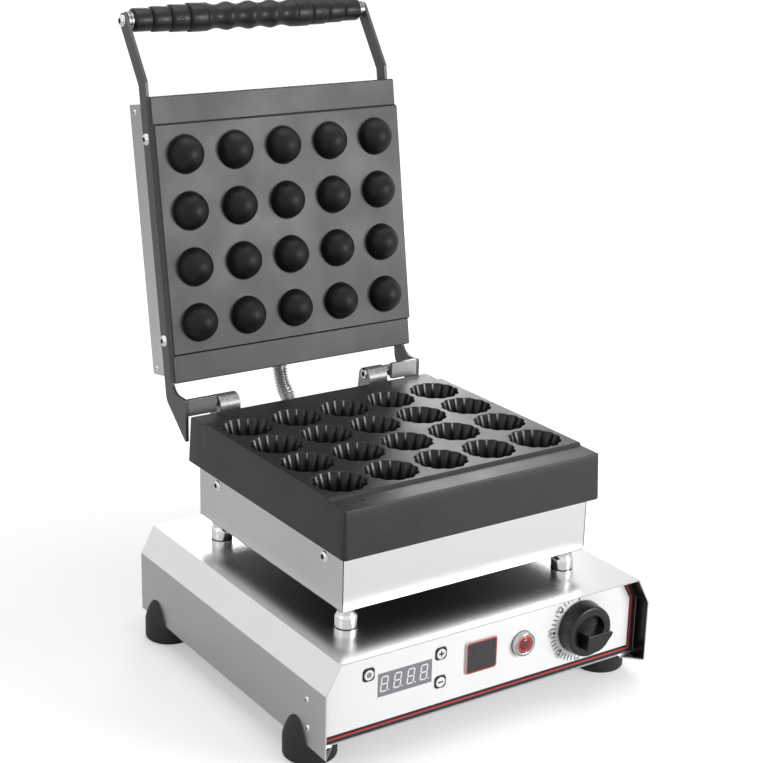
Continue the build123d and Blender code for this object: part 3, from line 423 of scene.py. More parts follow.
def cup_cell(sides=144, taper=0.28):
    """Fluted cup: rounded rim, wall drawn in by the taper, small fillet, flat floor.
    Twelve outward lobes follow the absolute sine of six times the angle."""
    angles = np.arange(sides) * 2 * math.pi / sides
    rim = (20.3 + 1.7 * abs(np.sin(6 * angles)) ** 0.8) * MM
    depth, edge, foot = 19 * MM, 0.6 * MM, 1.6 * MM
    narrow = 1 + taper * (foot - depth) / depth
    rings = [(1, 2 * edge, 0)]
    rings += [(1, edge * (1 - s), -edge * (1 - c)) for s, c in quarter(5)]
    rings += [(1 + taper * z / depth, 0, z) for z in np.linspace(-edge, foot - depth, 7)[1:]]
    rings += [(narrow, -foot * (1 - c), foot - depth - foot * s) for s, c in quarter(5)][1:]
    rings += [(share * narrow, -share * foot, -depth) for share in (0.75, 0.5, 0.25, 0)]
    grid = cell_rings(rim, rings)
    return grid, np.repeat(np.arange(len(grid)) > 4, sides)


def dome_cell(sides=72):
    """Half-round dome of 16.2 mm radius with a small fillet round its foot."""
    radius, foot = 16.2 * MM, 0.8 * MM
    turns = np.linspace(math.asin(foot / radius), math.pi / 2, 14)[1:]
    rings = [(1, 2 * foot, 0)]
    rings += [(1, foot * (1 - s), foot * (1 - c)) for s, c in quarter(4)]
    rings += [(math.cos(turn), 0, radius * math.sin(turn)) for turn in turns]
    grid = cell_rings(np.full(sides, radius), rings)
    return grid, np.repeat(0.85 * (np.arange(len(grid)) > 2), sides)


HALF_X, BODY_X = 123 * MM, 119 * MM
FRONT_REACH, BACK_REACH = 121.8 * MM, 122.9 * MM
FLANGE_DEPTH, BODY_DEPTH = 11.4 * MM, 24 * MM
CUP_STEP, CUP_FLARE, DOME_STEP = 2.2 * MM, 2.0 * MM, 3.2 * MM


def cast_plate(cell, front, behind, depth, step, flare):
    """Grids of a plate from its own grid centre: cells, land with a sloped step down to a strip
    at each end, rounded upper edge, flared skirt and a flat underside."""
    grid, coat = cell
    edge, lip, inner = 0.9 * MM, 0.6 * MM, 0.7 * MM
    land, slope = 97.2 * MM, 2.0 * MM
    flat_x = HALF_X - edge - inner
    centre_x = (np.arange(COLUMNS) - (COLUMNS - 1) / 2) * PITCH
    centre_y = (np.arange(ROWS) - (ROWS - 1) / 2) * PITCH
    sheets = [(grid + (x, y, 0), True) for y in centre_y for x in centre_x]
    masks = [coat] * len(sheets)
    spacing = PITCH / 2 * np.tan(np.linspace(-math.pi / 4, math.pi / 4, grid.shape[1] // 4 + 1))
    line_x = np.unique(np.round(centre_x[:, None] + spacing, 9))
    line_y = np.unique(np.round(centre_y[:, None] + spacing, 9))
    bend = inner * np.linspace(0, 1, 5)
    out_x = np.concatenate([[line_x[-1]], flat_x + bend])
    down = land + slope * np.linspace(0.15, 1, 6)
    steps = [line_y[-1], land - 0.4 * MM, land, *down, land + slope + 0.5 * MM, land + 12 * MM]
    low_y, high_y = (
        np.concatenate([steps, reach - edge - inner + bend]) for reach in (front, behind)
    )
    low_y = -low_y[::-1]
    all_x = np.concatenate([-out_x[::-1], line_x[1:-1], out_x])
    all_y = np.concatenate([low_y, line_y[1:-1], high_y])

    def top_height(y):
        part = np.clip((abs(y) - land) / slope, 0, 1)
        return -step * part * part * (3 - 2 * part)

    def rounded(x, y):
        """Draws the square plan corners in to a round of radius inner; gives place and way out."""
        flat_y = np.where(y < 0, front, behind) - edge - inner
        a, b = np.maximum(abs(x) - flat_x, 0), np.maximum(abs(y) - flat_y, 0)
        long = np.maximum(np.hypot(a, b), 1e-9)
        pull = np.where((a > 0) & (b > 0), np.maximum(a, b) / long, 1)
        px = np.sign(x) * (np.minimum(abs(x), flat_x) + a * pull)
        py = np.sign(y) * (np.minimum(abs(y), flat_y) + b * pull)
        return px, py, np.sign(x) * a / long, np.sign(y) * b / long

    for xs, ys in ((all_x, low_y), (all_x, high_y), (out_x, line_y), (-out_x[::-1], line_y)):
        x, y = np.meshgrid(xs, ys, indexing="ij")
        px, py, _, _ = rounded(x, y)
        sheets.append((np.stack([px, py, top_height(y)], -1), False))
        masks.append(np.zeros(x.size))

    one_x, one_y = np.ones(len(all_x) - 1), np.ones(len(all_y) - 1)
    rim_x = np.concatenate([all_x[:-1], all_x[-1] * one_y, all_x[:0:-1], all_x[0] * one_y])
    rim_y = np.concatenate([all_y[0] * one_x, all_y[:-1], all_y[-1] * one_x, all_y[:0:-1]])
    px, py, way_x, way_y = rounded(rim_x, rim_y)
    top = top_height(rim_y)
    rings = []

    def ring(out, height):
        rings.append(np.stack([px + way_x * out, py + way_y * out, height], -1))

    for s, c in quarter(5):
        ring(edge * s, top - edge * (1 - c))
    for share in np.linspace(0, 1, 7)[1:]:
        ring(edge + flare * share, (top - edge) * (1 - share) + (lip - depth) * share)
    ring(edge + flare - lip, 0 * top - depth)
    for share in (0.93, 0):
        rings.append(np.stack([px * share, py * share, 0 * top - depth], -1))
    sheets.append((np.array(rings), True))
    masks.append(np.zeros(len(rings) * len(px)))
    return sheets, masks


# Speckle: fine grains over soft clouds, as on a blasted and coated casting.
speckle, enter, leave, place = open_group(
    "cast_speckle", "Grain", "NodeSocketFloat", 900, "Specks", "Clouds"
)
specks = add_node(speckle, "TexNoise", Vector=place, Scale=enter, Detail=4, Roughness=0.7)
clouds = add_node(speckle, "TexNoise", Vector=place, Scale=22, Detail=3)
wire(leave, Specks=specks, Clouds=clouds)


def speckled(name, grain, dark, pale, rough, specks=None, cloudy=False, relief=None, **sockets):
    """Speckled finish between two colours. Clouds choose the colour, or specks within the two
    limits given; specks choose the gloss, or clouds where cloudy is set. relief is the bump's
    distance and strength."""
    material, tree, shader = new_material(name)
    pattern = add_node(tree, "Group", node_tree=speckle, Grain=grain).outputs
    small, broad = pattern["Specks"], pattern["Clouds"]
    mask = map_value(tree, small, 0, 1, *specks) if specks else broad
    tint = mix_colours(tree, mask, dark, pale)
    gloss = map_value(tree, broad if cloudy else small, *rough)
    if relief:
        distance, strength = relief
        raised = add_node(tree, "Bump", Distance=distance, Strength=strength, Height=small)
        wire(shader, Normal=raised)
    wire(shader, Base_Color=tint, Roughness=gloss, **sockets)
    return material


def cast_coating(name, dark, pale, shine, rough):
    """Speckled non-stick coat between two greys; broad clouds vary its gloss."""
    relief, limits = (0.03 * MM, 0.5), (0.4, 0.64)
    return speckled(name, 1500, dark, pale, rough, limits, True, relief, Specular_IOR_Level=shine)


coating, cup_black, dome_black = (
    cast_coating(*values) for values in (
        ("cast_land", (0.009, 0.009, 0.0095), (0.033, 0.0335, 0.035), 0.4, (0.34, 0.42)),
        ("cup_coat", (0.003, 0.003, 0.0035), (0.008, 0.008, 0.0085), 0.4, (0.2, 0.28)),
        ("dome_coat", (0.006, 0.006, 0.0065), (0.013, 0.013, 0.0135), 0.2, (0.4, 0.5)),
    )
)
sheets, masks = cast_plate(
    cup_cell(), FRONT_REACH, BACK_REACH, LAND_Z - CASTING_Z, CUP_STEP, CUP_FLARE
)
sheets = [(grid + (0, GRID_Y, LAND_Z), wrap) for grid, wrap in sheets]
piece("cup_casting", sheets, "base", coating, ["lower_plate"], 30, masks, cup_black)


def rounded_ring(x0, x1, y0, y1, corner):
    """Points round a rectangle whose corners are quarter circles."""
    turns = np.linspace(0, math.pi / 2, 4)
    x0, x1, y0, y1 = x0 + corner, x1 - corner, y0 + corner, y1 - corner
    ring = []
    for count, (x, y) in enumerate(((x1, y1), (x0, y1), (x0, y0), (x1, y0))):
        angle = turns + count * math.pi / 2
        ring.append(np.stack([x + corner * np.cos(angle), y + corner * np.sin(angle)], -1))
    return np.concatenate(ring)


def plate_block(x0, x1, y0, y1, levels, corner):
    """Block from rounded rings: levels gives each ring's height and how far it is drawn in."""
    rings = []
    for height, inset in levels:
        ring = rounded_ring(x0 + inset, x1 - inset, y0 + inset, y1 - inset, corner)
        rings.append(np.column_stack([ring, np.full(len(ring), height)]))
    middle = np.array([(x0 + x1) / 2, (y0 + y1) / 2])
    for height, place in ((levels[0][0], 0), (levels[-1][0], len(rings) + 1)):
        rings.insert(place, np.tile([*middle, height], (len(rings[1]), 1)))
    return np.array(rings)


sheets, masks = cast_plate(dome_cell(), BACK_REACH, FRONT_REACH, FLANGE_DEPTH, DOME_STEP, 0)
round_back = ((-BODY_DEPTH, 0.5 * MM), (0.4 * MM - BODY_DEPTH, 0.05 * MM), (-11 * MM, 0.05 * MM))
body_block = plate_block(-BODY_X, BODY_X, -BACK_REACH, FRONT_REACH, round_back, 1 * MM)
sheets.append((body_block, True))
masks.append(np.zeros(body_block.shape[0] * body_block.shape[1]))
sheets = [(on_lid(grid), wrap) for grid, wrap in sheets]
piece("dome_casting", sheets, "lid", coating, ["upper_plate"], 30, masks, dome_black)


# Grip: a black turned phenolic handle on a steel rod, four stepped drums at each end and four
# finger waves between them. Set screws in the third drums hold it to the rod.
def turned(profile, sides=48):
    """Profile of height and radius turned about Z into rings of points."""
    profile = np.asarray(profile, float)
    angles = np.arange(sides) * 2 * math.pi / sides
    x = profile[:, 1:2] * np.cos(angles)
    y = profile[:, 1:2] * np.sin(angles)
    return np.stack([x, y, np.repeat(profile[:, :1], sides, 1)], -1)


def aim(points, place, way):
    """Turns points made about Z so that Z points way, and moves them to place."""
    way = np.asarray(way, float)
    way = way / np.linalg.norm(way)
    helper = np.array([0, 1.0, 0]) if abs(way[2]) > 0.9 else np.array([0, 0, 1.0])
    across = np.cross(helper, way)
    across /= np.linalg.norm(across)
    turn = np.stack([across, np.cross(way, across), way])
    return points @ turn + np.asarray(place, float)


def lathe(profile, sides, place, way):
    """Closed sheet of a profile turned about the line that leaves place along way."""
    return aim(turned(profile, sides), place, way), True


def handle_place(x=0.0):
    low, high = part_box("handle_rod")
    return (x, (low.y + high.y) / 2, (low.z + high.z) / 2)


# Its outline in millimetres: drums with V grooves between them, then hollows that follow the
# absolute sine to the power 1.5; the other half is its mirror image.
GRIP_HALF, DRUM = 114.3, 17.5
drum = np.array([(0, -2), (1, -0.6), (1.5, -0.15), (2.1, 0), (15.4, 0), (16, -0.15), (16.5, -0.6)])
radii = (10.0, 10.9, 11.8, 12.6)
drums = [drum + (count * DRUM - GRIP_HALF, radius) for count, radius in enumerate(radii)]
steps = np.linspace(0, 2, 49)
hollow = abs(np.sin(math.pi * steps)) ** 1.5
ridge = np.minimum(abs(steps - np.round(steps)) * 30, 1)
along = (4 * DRUM - GRIP_HALF) * (1 - steps / 2)
waves = np.stack([along, 12.6 - 0.1 * (1 - ridge) - 2.1 * hollow], -1)
half = np.concatenate([[(-GRIP_HALF, 5.1)], *drums, waves])
grip_profile = np.concatenate([half, half[-2::-1] * (-1, 1)]) * MM
black_plastic = speckled(
    "black_phenolic", 500, (0.007, 0.007, 0.008), (0.012, 0.012, 0.013), (0.3, 0.42),
    relief=(0.03 * MM, 0.4), Specular_IOR_Level=0.3,
)
grip = lathe(grip_profile, 64, handle_place(), (1, 0, 0))
piece("turned_grip", [grip], "lid", black_plastic, ["handle_grip"], 28)


# Bright steel: spacers, screws, the rod's ends, bushings and set screws are turned and plated.
# The screws' heads are smooth domes with a hexagon socket.
def plated(name, colour=0.78, rough=0.12):
    """Plated metal of one grey, a little clouded."""
    tones = (colour * 0.93,) * 3, (colour,) * 3
    return speckled(name, 1400, *tones, (rough, rough + 0.12), Metallic=1.0)


chrome = plated("bright_plating")
# Near-black finish for sockets, holes, set screws and rings where shade falls: painted shade; the
# housing's dark seams use it too.
shade_and_seam_black = plated("socket_shadow", 0.02, 0.5)


def dome_head(radius, height, socket):
    """Height and radius of a screw head: flat seat, domed crown, sunk socket."""
    turns = np.linspace(0, math.radians(62), 7)
    crown = np.stack([height * np.sin(turns) / math.sin(turns[-1]), radius * np.cos(turns)], -1)
    sink = 0.45 * height
    hole = [(height, socket * 1.1), (sink, socket * 1.05), (sink, 0)]
    return np.concatenate([[(0, 0.0)], [(0, radius)], crown, hole])


def hexagon(radius, height0, height1):
    """Closed six-sided plug between two heights."""
    angles = np.arange(6) * math.pi / 3
    x, y = radius * np.cos(angles), radius * np.sin(angles)
    levels = ((0, height0), (1, height0), (1, height1), (0, height1))
    return np.array([np.stack([x * s, y * s, np.full(6, h)], -1) for s, h in levels])


def screw_heads(name, seats, body, radius, height, socket, replaces=()):
    """Domed heads with a near-black hexagon in the socket, painted shade; each seat is a place and
    the way out of it.
    """
    heads = [lathe(dome_head(radius, height, socket), 32, place, way) for place, way in seats]
    plug = hexagon(socket * 1.04, 0.3 * height, 0.62 * height)
    socket_shades = [(aim(plug, place, way), True) for place, way in seats]
    piece(f"{name}_sockets", socket_shades, body, shade_and_seam_black)
    piece(name, heads, body, chrome, replaces, 40)


def lid_place(x, v, n):
    return tuple(on_lid(np.array([[x, v, n]]) * MM)[0])


def both_sides(put, *spots):
    """Seats on the left and right walls from places on the right one, in millimetres."""
    return [(put(side * x, y, z), (side, 0, 0)) for side in (-1, 1) for x, y, z in spots]


ARM_OUT = 122.2
ENDS, SIDES = ("left", "right"), ((-1, "left"), (1, "right"))
seats = both_sides(lid_place, (ARM_OUT, -86.5, -17.6), (ARM_OUT, 86.5, -17.6))
seats += [(handle_place(side * ARM_OUT * MM), (side, 0, 0)) for side in (-1, 1)]
screw_nodes = [f"arm_screw_{end}_{side}" for end in ("lower", "upper") for side in ENDS]
screw_nodes += [f"handle_screw_{side}" for side in ENDS]
screw_heads("arm_screw_heads", seats, "lid", 5.25 * MM, 2.9 * MM, 2.0 * MM, screw_nodes)

spacer_profile = np.array([
    (0, 0), (0, 8.6), (0.5, 9.1), (2.0, 9.35), (5.5, 9.4), (8.2, 9.3), (9.6, 8.9), (11.0, 8.1),
    (11.6, 7.9), (13.4, 7.9), (14.2, 8.1), (15.8, 9.1), (16.4, 9.35), (17.8, 9.4), (18.3, 9.2),
    (18.3, 0),
]) * MM
# A thin near-black ring round each spacer's foot is painted shadow where it stands on the base.
shadow_ring_profile = np.array([(0.05, 8.5), (0.05, 9.3), (0.5, 9.3), (0.5, 8.5), (0.05, 8.5)]) * MM
spacer_nodes = [f"spacer_{end}_{side}" for end in ("front", "rear") for side in ENDS]
sheets, shadow_rings = [], []
for node in spacer_nodes:
    low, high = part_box(node)
    place = ((low.x + high.x) / 2, (low.y + high.y) / 2, low.z)
    sheets.append((turned(spacer_profile) + place, True))
    shadow_rings.append((turned(shadow_ring_profile) + place, True))
piece("turned_spacers", sheets, "base", chrome, spacer_nodes, 30)
piece("spacer_shadow_rings", shadow_rings, "base", shade_and_seam_black)

handle_collar = np.array([
    (0, 5.1), (0, 7.2), (0.3, 7.5), (2.0, 7.5), (2.3, 6.6), (2.7, 6.6), (3.0, 7.5), (4.6, 7.5),
    (4.9, 7.2), (4.9, 5.1),
]) * MM
set_screw = np.array([
    (-1.5, 0), (-1.5, 2.0), (0.05, 2.0), (0.25, 1.7), (0.05, 1.3), (-0.6, 1.1), (-0.6, 0),
]) * MM
collars, set_screws = [], []
for side in (-1, 1):
    collars.append(lathe(handle_collar, 40, handle_place(side * GRIP_HALF * MM), (side, 0, 0)))
    x, y, z = handle_place(side * 70.55 * MM)
    set_screws.append(lathe(set_screw, 24, (x, y - 11.8 * MM, z), (0, -1, 0)))
# The collars' steel is greyed well below the plating to stand for the black grip it reflects:
# painted reflection.
collar_steel_shaded = plated("collar_steel_shaded", 0.34, 0.22)
collar_nodes = [f"handle_spacer_{side}" for side in ENDS]
piece("handle_collars", collars, "lid", collar_steel_shaded, collar_nodes)
# The set screws are near-black, the painted shade of the holes they sit in.
piece("grip_set_screws", set_screws, "lid", shade_and_seam_black)
dress(chrome, "handle_rod", "thermostat_shaft", "conduit_gland_upper", "conduit_gland_lower")


# Casting holes: two small blind holes, one in each end strip of the cup casting, drilled after
# it was cast.
# Each hole is drawn as a shallow near-black disc: its depth is painted shade.
hole_profile = np.array([
    (-0.3, 0), (-0.3, 1.9), (0.03, 1.9), (0.06, 1.6), (0.02, 1.4), (0.02, 0),
]) * MM
hole_shades = []
for x, y in ((-98, -105), (94, 103)):
    place = (x * MM, BASE_Y + y * MM, LAND_Z - CUP_STEP)
    hole_shades.append((turned(hole_profile, 24) + place, True))
piece("casting_hole_shades", hole_shades, "base", shade_and_seam_black)


# Small fasteners: two screws in each side wall of the base, two domed screws in each side of the
# lower housing, and rivets through the sides of the lid's housing.
def base_place(x, y, z):
    return (x * MM, BASE_Y + y * MM, z * MM)


for name, body, put, spots, radius, height, socket in (
    ("side_wall_screws", "base", base_place, ((159, -126.5, 57.5), (159, -128, 34.3)), 2.6, 1.2, 1),
    ("housing_screws", "base", base_place, ((119, -85, 150), (119, 85, 150)), 4.6, 2.2, 2.3),
    ("lid_rivets", "lid", lid_place, ((119, 109.2, -43), (119, -114.4, -44.7)), 2.4, 1, 0.8),
):
    screw_heads(name, both_sides(put, *spots), body, radius * MM, height * MM, socket * MM)


# Folds and seams: the lower housing's corners are folded and welded, which leaves a dark line
# down each front corner and along its lower front edge.
def strip(x0, x1, y0, y1, z0, z1):
    """Closed thin bar between two corners, in millimetres from the base's middle."""
    rings = plate_block(x0 * MM, x1 * MM, y0 * MM, y1 * MM, ((z0 * MM, 0), (z1 * MM, 0)), 0.04 * MM)
    return rings + (0, BASE_Y, 0)


seams = [
    strip(-119.06, -118.5, -111.66, -111.1, 113.4, 159.7),
    strip(118.4, 119.06, -111.66, -111.1, 116.0, 159.7),
    strip(-118.4, 118.4, -111.64, -111.3, 113.0, 113.5),
    strip(-119.04, -118.7, -111.0, 116.4, 113.0, 113.4),
]
piece("housing_seams", [(seam, True) for seam in seams], "base", shade_and_seam_black)


# Conduit: a ribbed flexible steel hose of 14 mm that carries the lid heater's leads from the
# lower housing to the lid, held by a bushing at each end.
route = np.array([
    lid_place(0, -123, -36.2),
    lid_place(0, -144, -36.2),
    base_place(0, 163.0, 180.0),
    base_place(0, 160.0, 130.9),
    base_place(0, 119.8, 130.9),
])


def curve_mesh(curve):
    """Mesh that Blender makes of a curve or text, and its points."""
    holder = linked(curve.name, curve)
    bpy.context.view_layer.update()
    mesh = bpy.data.meshes.new_from_object(holder)
    bpy.data.objects.remove(holder)
    points = np.empty(len(mesh.vertices) * 3)
    mesh.vertices.foreach_get("co", points)
    return mesh, points.reshape(-1, 3)


def spline_points(corners):
    """Points along Blender's own NURBS curve through the route, from end to end."""
    curve = bpy.data.curves.new("conduit_route", "CURVE")
    curve.dimensions = "3D"
    curve.resolution_u = 64
    spline = curve.splines.new("NURBS")
    spline.points.add(len(corners) - 1)
    spline.points.foreach_set("co", np.column_stack([corners, np.ones(len(corners))]).reshape(-1))
    spline.order_u = 3
    spline.use_endpoint_u = True
    return curve_mesh(curve)[1]


def ribbed_hose(line, root, crest, ribs):
    """Ring on ring along a line in the plane x = 0; the radius swells by a cosine once a rib."""
    per_rib, sides = 8, 28
    reach = np.concatenate([[0], np.cumsum(np.linalg.norm(np.diff(line, axis=0), axis=1))])
    along = np.linspace(0, reach[-1], ribs * per_rib + 1)
    place = np.stack([np.interp(along, reach, line[:, i]) for i in range(3)], -1)
    way = np.gradient(place, axis=0)
    way /= np.linalg.norm(way, axis=1)[:, None]
    wave = 0.5 - 0.5 * np.cos(2 * math.pi * ribs * along / reach[-1])
    radius = root + (crest - root) * wave**0.6
    turn = np.arange(sides) * 2 * math.pi / sides
    across = np.array([1.0, 0, 0])
    other = np.cross(way, across)
    ring = np.cos(turn)[None, :, None] * across + np.sin(turn)[None, :, None] * other[:, None, :]
    body = place[:, None, :] + radius[:, None, None] * ring
    ends = [np.tile(place[i], (1, sides, 1)) for i in (0, -1)]
    return np.concatenate([ends[0], body, ends[1]])


hose_steel = plated("hose_steel", 0.62, 0.2)
hose = ribbed_hose(spline_points(route), 5.0 * MM, 7.0 * MM, 44)
sheets = [(hose, True)]
conduit = piece("ribbed_conduit", sheets, "base", hose_steel, ["conduit"], 60)
conduit.parent = None
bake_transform(conduit)


# Feet: moulded black rubber discs under the corners, each with a tongue that stands up against
# the outside of the side wall. A screw from below holds each one.
FOOT_R, WALL_X, SOLE_TOP, TONGUE_RISE = 21.5, 13.6, 17.6, 18.9


def foot_disc():
    """Height and radius of the round foot: flat sole, rounded edges, upright wall."""
    turns = np.linspace(0, math.pi / 2, 6)
    lower = np.stack([2.4 * (1 - np.cos(turns)), FOOT_R - 2.4 * (1 - np.sin(turns))], -1)
    upper = np.stack([SOLE_TOP - 0.6 * (1 - np.sin(turns)), FOOT_R - 0.6 * (1 - np.cos(turns))], -1)
    return np.concatenate([[(0, 0)], lower, upper, [(SOLE_TOP, 0)]]) * MM


def foot_tongue(side):
    """Bell against the wall. With s from 0 to 1 up its height, its width falls with the root of
    1 - s and its outer face draws in to the wall by 0.62 s to the power 1.6."""
    reach = math.sqrt(FOOT_R**2 - WALL_X**2)
    y = reach * np.sin(np.linspace(-math.pi / 2, math.pi / 2, 33))
    x = np.sqrt(FOOT_R**2 - y**2) - WALL_X
    s = np.sin(np.linspace(0, math.pi / 2, 14))[:, None]
    out = WALL_X + x * (1 - 0.62 * s**1.6) * np.sqrt(np.maximum(1 - s**8, 0))
    across = y * np.sqrt(1 - s)
    rise = SOLE_TOP - 0.4 + (TONGUE_RISE + 0.4) * s + 0 * y
    front = np.stack([side * out, across, rise], -1)
    back = front[:, ::-1].copy()
    back[..., 0] = side * WALL_X
    return np.concatenate([front, back[:, 1:-1]], 1) * MM


rubber = speckled(
    "foot_rubber", 700, (0.007, 0.007, 0.007), (0.013, 0.013, 0.013), (0.55, 0.7),
    relief=(0.08 * MM, 0.5),
)
for end in ("front", "rear"):
    for side, name in SIDES:
        node = f"foot_{end}_{name}"
        low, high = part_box(node)
        place = ((low.x + high.x) / 2, (low.y + high.y) / 2, 0)
        sheets = [(turned(foot_disc(), 72) + place, True), (foot_tongue(side) + place, True)]
        piece(f"{node}_rubber", sheets, "base", rubber, [node], 40)


# Arms and hinge: flat steel arms in dark textured paint, steel blocks welded inside their lower
# ends, cast aluminium lugs on the cup casting's back, and a bolt through each pair on the axis.
arm_paint = speckled(
    "arm_paint", 1300, (0.05, 0.051, 0.053), (0.11, 0.112, 0.116), (0.3, 0.42), (0.4, 0.62), True,
    relief=(0.03 * MM, 0.5),
)
lug_metal = speckled(
    "cast_aluminium", 900, (0.14, 0.14, 0.145), (0.46, 0.46, 0.47), (0.36, 0.56), (0.35, 0.65),
    relief=(0.08 * MM, 0.6), Metallic=0.85,
)
# The left block's copy of the steel is darker than the right one's: painted shade.
lit_and_shaded_blocks = plated("block_steel_shaded", 0.22, 0.36), plated("block_steel", 0.36, 0.38)
for part, body, slot, metals, edge in (
    ("lid_arm", "lid", "painted_arm", (arm_paint, arm_paint), 0.4),
    ("hinge_lug", "base", "cast_aluminium", (lug_metal, lug_metal), 0.7),
    ("pivot_block", "lid", "plated_steel", lit_and_shaded_blocks, 0.5),
):
    for end, metal in zip(ENDS, metals):
        softened(f"{part}_{end}", body, metal, edge * MM)

bolt_head = np.array([
    (0, 0), (0, 4.3), (0.4, 4.6), (3.2, 4.6), (3.7, 4.3), (4.0, 3.7), (4.0, 2.6), (1.4, 2.5),
    (1.4, 0),
]) * MM
shank = np.array([(0.1, 0), (0.1, 2.5), (-36.5, 2.5), (-36.5, 0)]) * MM
for side, end in SIDES:
    node, way = f"hinge_bolt_{end}", (-side, 0, 0)
    low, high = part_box(node)
    inner = high.x if side < 0 else low.x
    seat = (inner + side * 4.0 * MM, HINGE_Y, HINGE_Z)
    sheets = [lathe(bolt_head, 40, seat, way), lathe(shank, 32, seat, way)]
    piece(f"{node}_head", sheets, "base", chrome, [node])
    # A near-black hexagon in each head stands for its socket: painted shade.
    hole = [(aim(hexagon(2.7 * MM, 1.2 * MM, 1.7 * MM), seat, way), True)]
    piece(f"{node}_socket", hole, "base", shade_and_seam_black)


# Printed front: a white polyester overlay on the recessed panel, with a black and red border
# along its foot and up its right and left edges.
def plain_finish(name, colour, rough=0.4, grain=600, shine=0.5):
    """One colour, a little clouded, with a fine grain in its gloss."""
    dark = tuple(0.96 * value for value in colour)
    gloss = (rough, rough + 0.1)
    return speckled(name, grain, dark, colour, gloss, Specular_IOR_Level=shine)


overlay_white = plain_finish("overlay_white", (0.93, 0.93, 0.935), 0.3)
ink_black = plain_finish("ink_black", (0.012, 0.012, 0.014), 0.35)
ink_red = plain_finish("ink_red", (0.58, 0.035, 0.05), 0.35)
dress(overlay_white, "fascia_overlay")
FACE_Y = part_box("fascia_overlay")[0].y


def band(name, outer, inner, lift, material):
    """Flat printed band between two lines of x and z on the overlay."""
    lines = np.array([outer, inner], float) * MM
    y = np.full(lines.shape[:2] + (1,), FACE_Y - lift * MM)
    grid = np.concatenate([lines[..., :1], y, lines[..., 1:]], -1)
    back_face = grid + (0, 0.9 * lift * MM, 0)
    sheet = np.stack([grid[0], grid[1], back_face[1], back_face[0], grid[0]])
    piece(name, [(sheet, False)], "base", material)


def border_line(inset, foot):
    """The border's line, inset from the panel's side: up one edge, along the foot, up the other."""
    side = 157.4 - inset
    half = [(side - 8.0, 88.2 - 0.35 * inset), (side, 73.4 - 0.2 * inset), (side, foot)]
    return half + [(-x, z) for x, z in reversed(half)]


band("border_black", border_line(0.1, 21.7), border_line(7.6, 28.1), 0.04, ink_black)
band("border_red", border_line(4.6, 24.3), border_line(6.1, 25.7), 0.08, ink_red)


# Plaque: a rounded plate 2 mm proud, with a silver side, a red rim line and a plain dark face.
silver = plated("plaque_side", 0.6, 0.2)
dark = plain_finish("plaque_face", (0.05, 0.05, 0.055), 0.22, 600, 0.3)
box = [v * MM for v in (-20.8, 9.8, 46.2, 73.8)]
for name, levels, corner, slot, material in (
    ("body", ((0, 0), (1.5, 0), (1.9, 0.35)), 2.6, "plated_steel", silver),
    ("rim", ((1.8, 0.5), (1.96, 0.5)), 2.2, "printed_overlay", ink_red),
    ("face", ((1.9, 1.5), (2.05, 1.5)), 1.6, "printed_overlay", dark),
):
    block = plate_block(*box, np.array(levels) * MM, corner * MM)
    block = np.stack([block[..., 0], FACE_Y - block[..., 2], block[..., 1]], -1)
    piece(f"plaque_{name}", [(block, True)], "base", material)


# Keys and display: three glossy black keys with white printed discs beside a four-digit LED
# display behind a grey filter, all fixed to the board behind the panel.
def disc(x, z, y, radius, sides=48):
    """Thin flat disc that faces the front."""
    profile = np.array([(0, 0), (0, radius), (0.05, radius), (0.05, 0)]) * MM
    return lathe(profile, sides, (x * MM, y + 0.05 * MM, z * MM), (0, -1, 0))


def outline(ring, x, z, y):
    """Points of an outline of x and z, in millimetres from a middle, at one y in metres."""
    ring = np.asarray(ring, float)
    return np.stack([(x + ring[:, 0]) * MM, np.full(len(ring), y), (z + ring[:, 1]) * MM], -1)


def front_prism(ring, x, z, levels):
    """Closed prism that faces the front, from an outline and its two y places."""
    middle = np.mean(ring, 0) + 0 * np.asarray(ring)
    ends = zip((middle, ring, ring, middle), np.repeat(levels, 2))
    return np.array([outline(end, x, z, y) for end, y in ends]), True


def bar(wide, high):
    return [(-wide, -high), (wide, -high), (wide, high), (-wide, high)]


key_black = plain_finish("key_black", (0.014, 0.014, 0.015), 0.25)
ink_white = plain_finish("ink_white", (0.88, 0.88, 0.88), 0.35)
ink_grey = plain_finish("ink_grey", (0.25, 0.25, 0.26))
for key in ("function", "plus", "minus"):
    node, body = f"{key}_button", f"{key}_key"
    low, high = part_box(node)
    x, z, y = (low.x + high.x) / 2 / MM, (low.z + high.z) / 2 / MM, low.y
    softened(node, body, key_black, 0.3 * MM)
    piece(f"{node}_disc", [disc(x, z, y - 0.05 * MM, 4.2)], body, ink_white)
    top, foot = y - 0.14 * MM, y - 0.04 * MM
    marks = [front_prism(bar(2.4, 0.62), x, z, (top, foot))]
    if key == "plus":
        marks.append(front_prism(bar(0.62, 2.4), x, z, (top - 0.01 * MM, foot)))
    if key == "function":
        marks = [disc(x, z, y - 0.1 * MM, 2.3)]
    ink = ink_grey if key == "function" else key_black
    piece(f"{node}_mark", marks, body, ink)

dress(plain_finish("filter_grey", (0.235, 0.235, 0.26), 0.25), "display_module")
display_low, display_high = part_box("display_module")


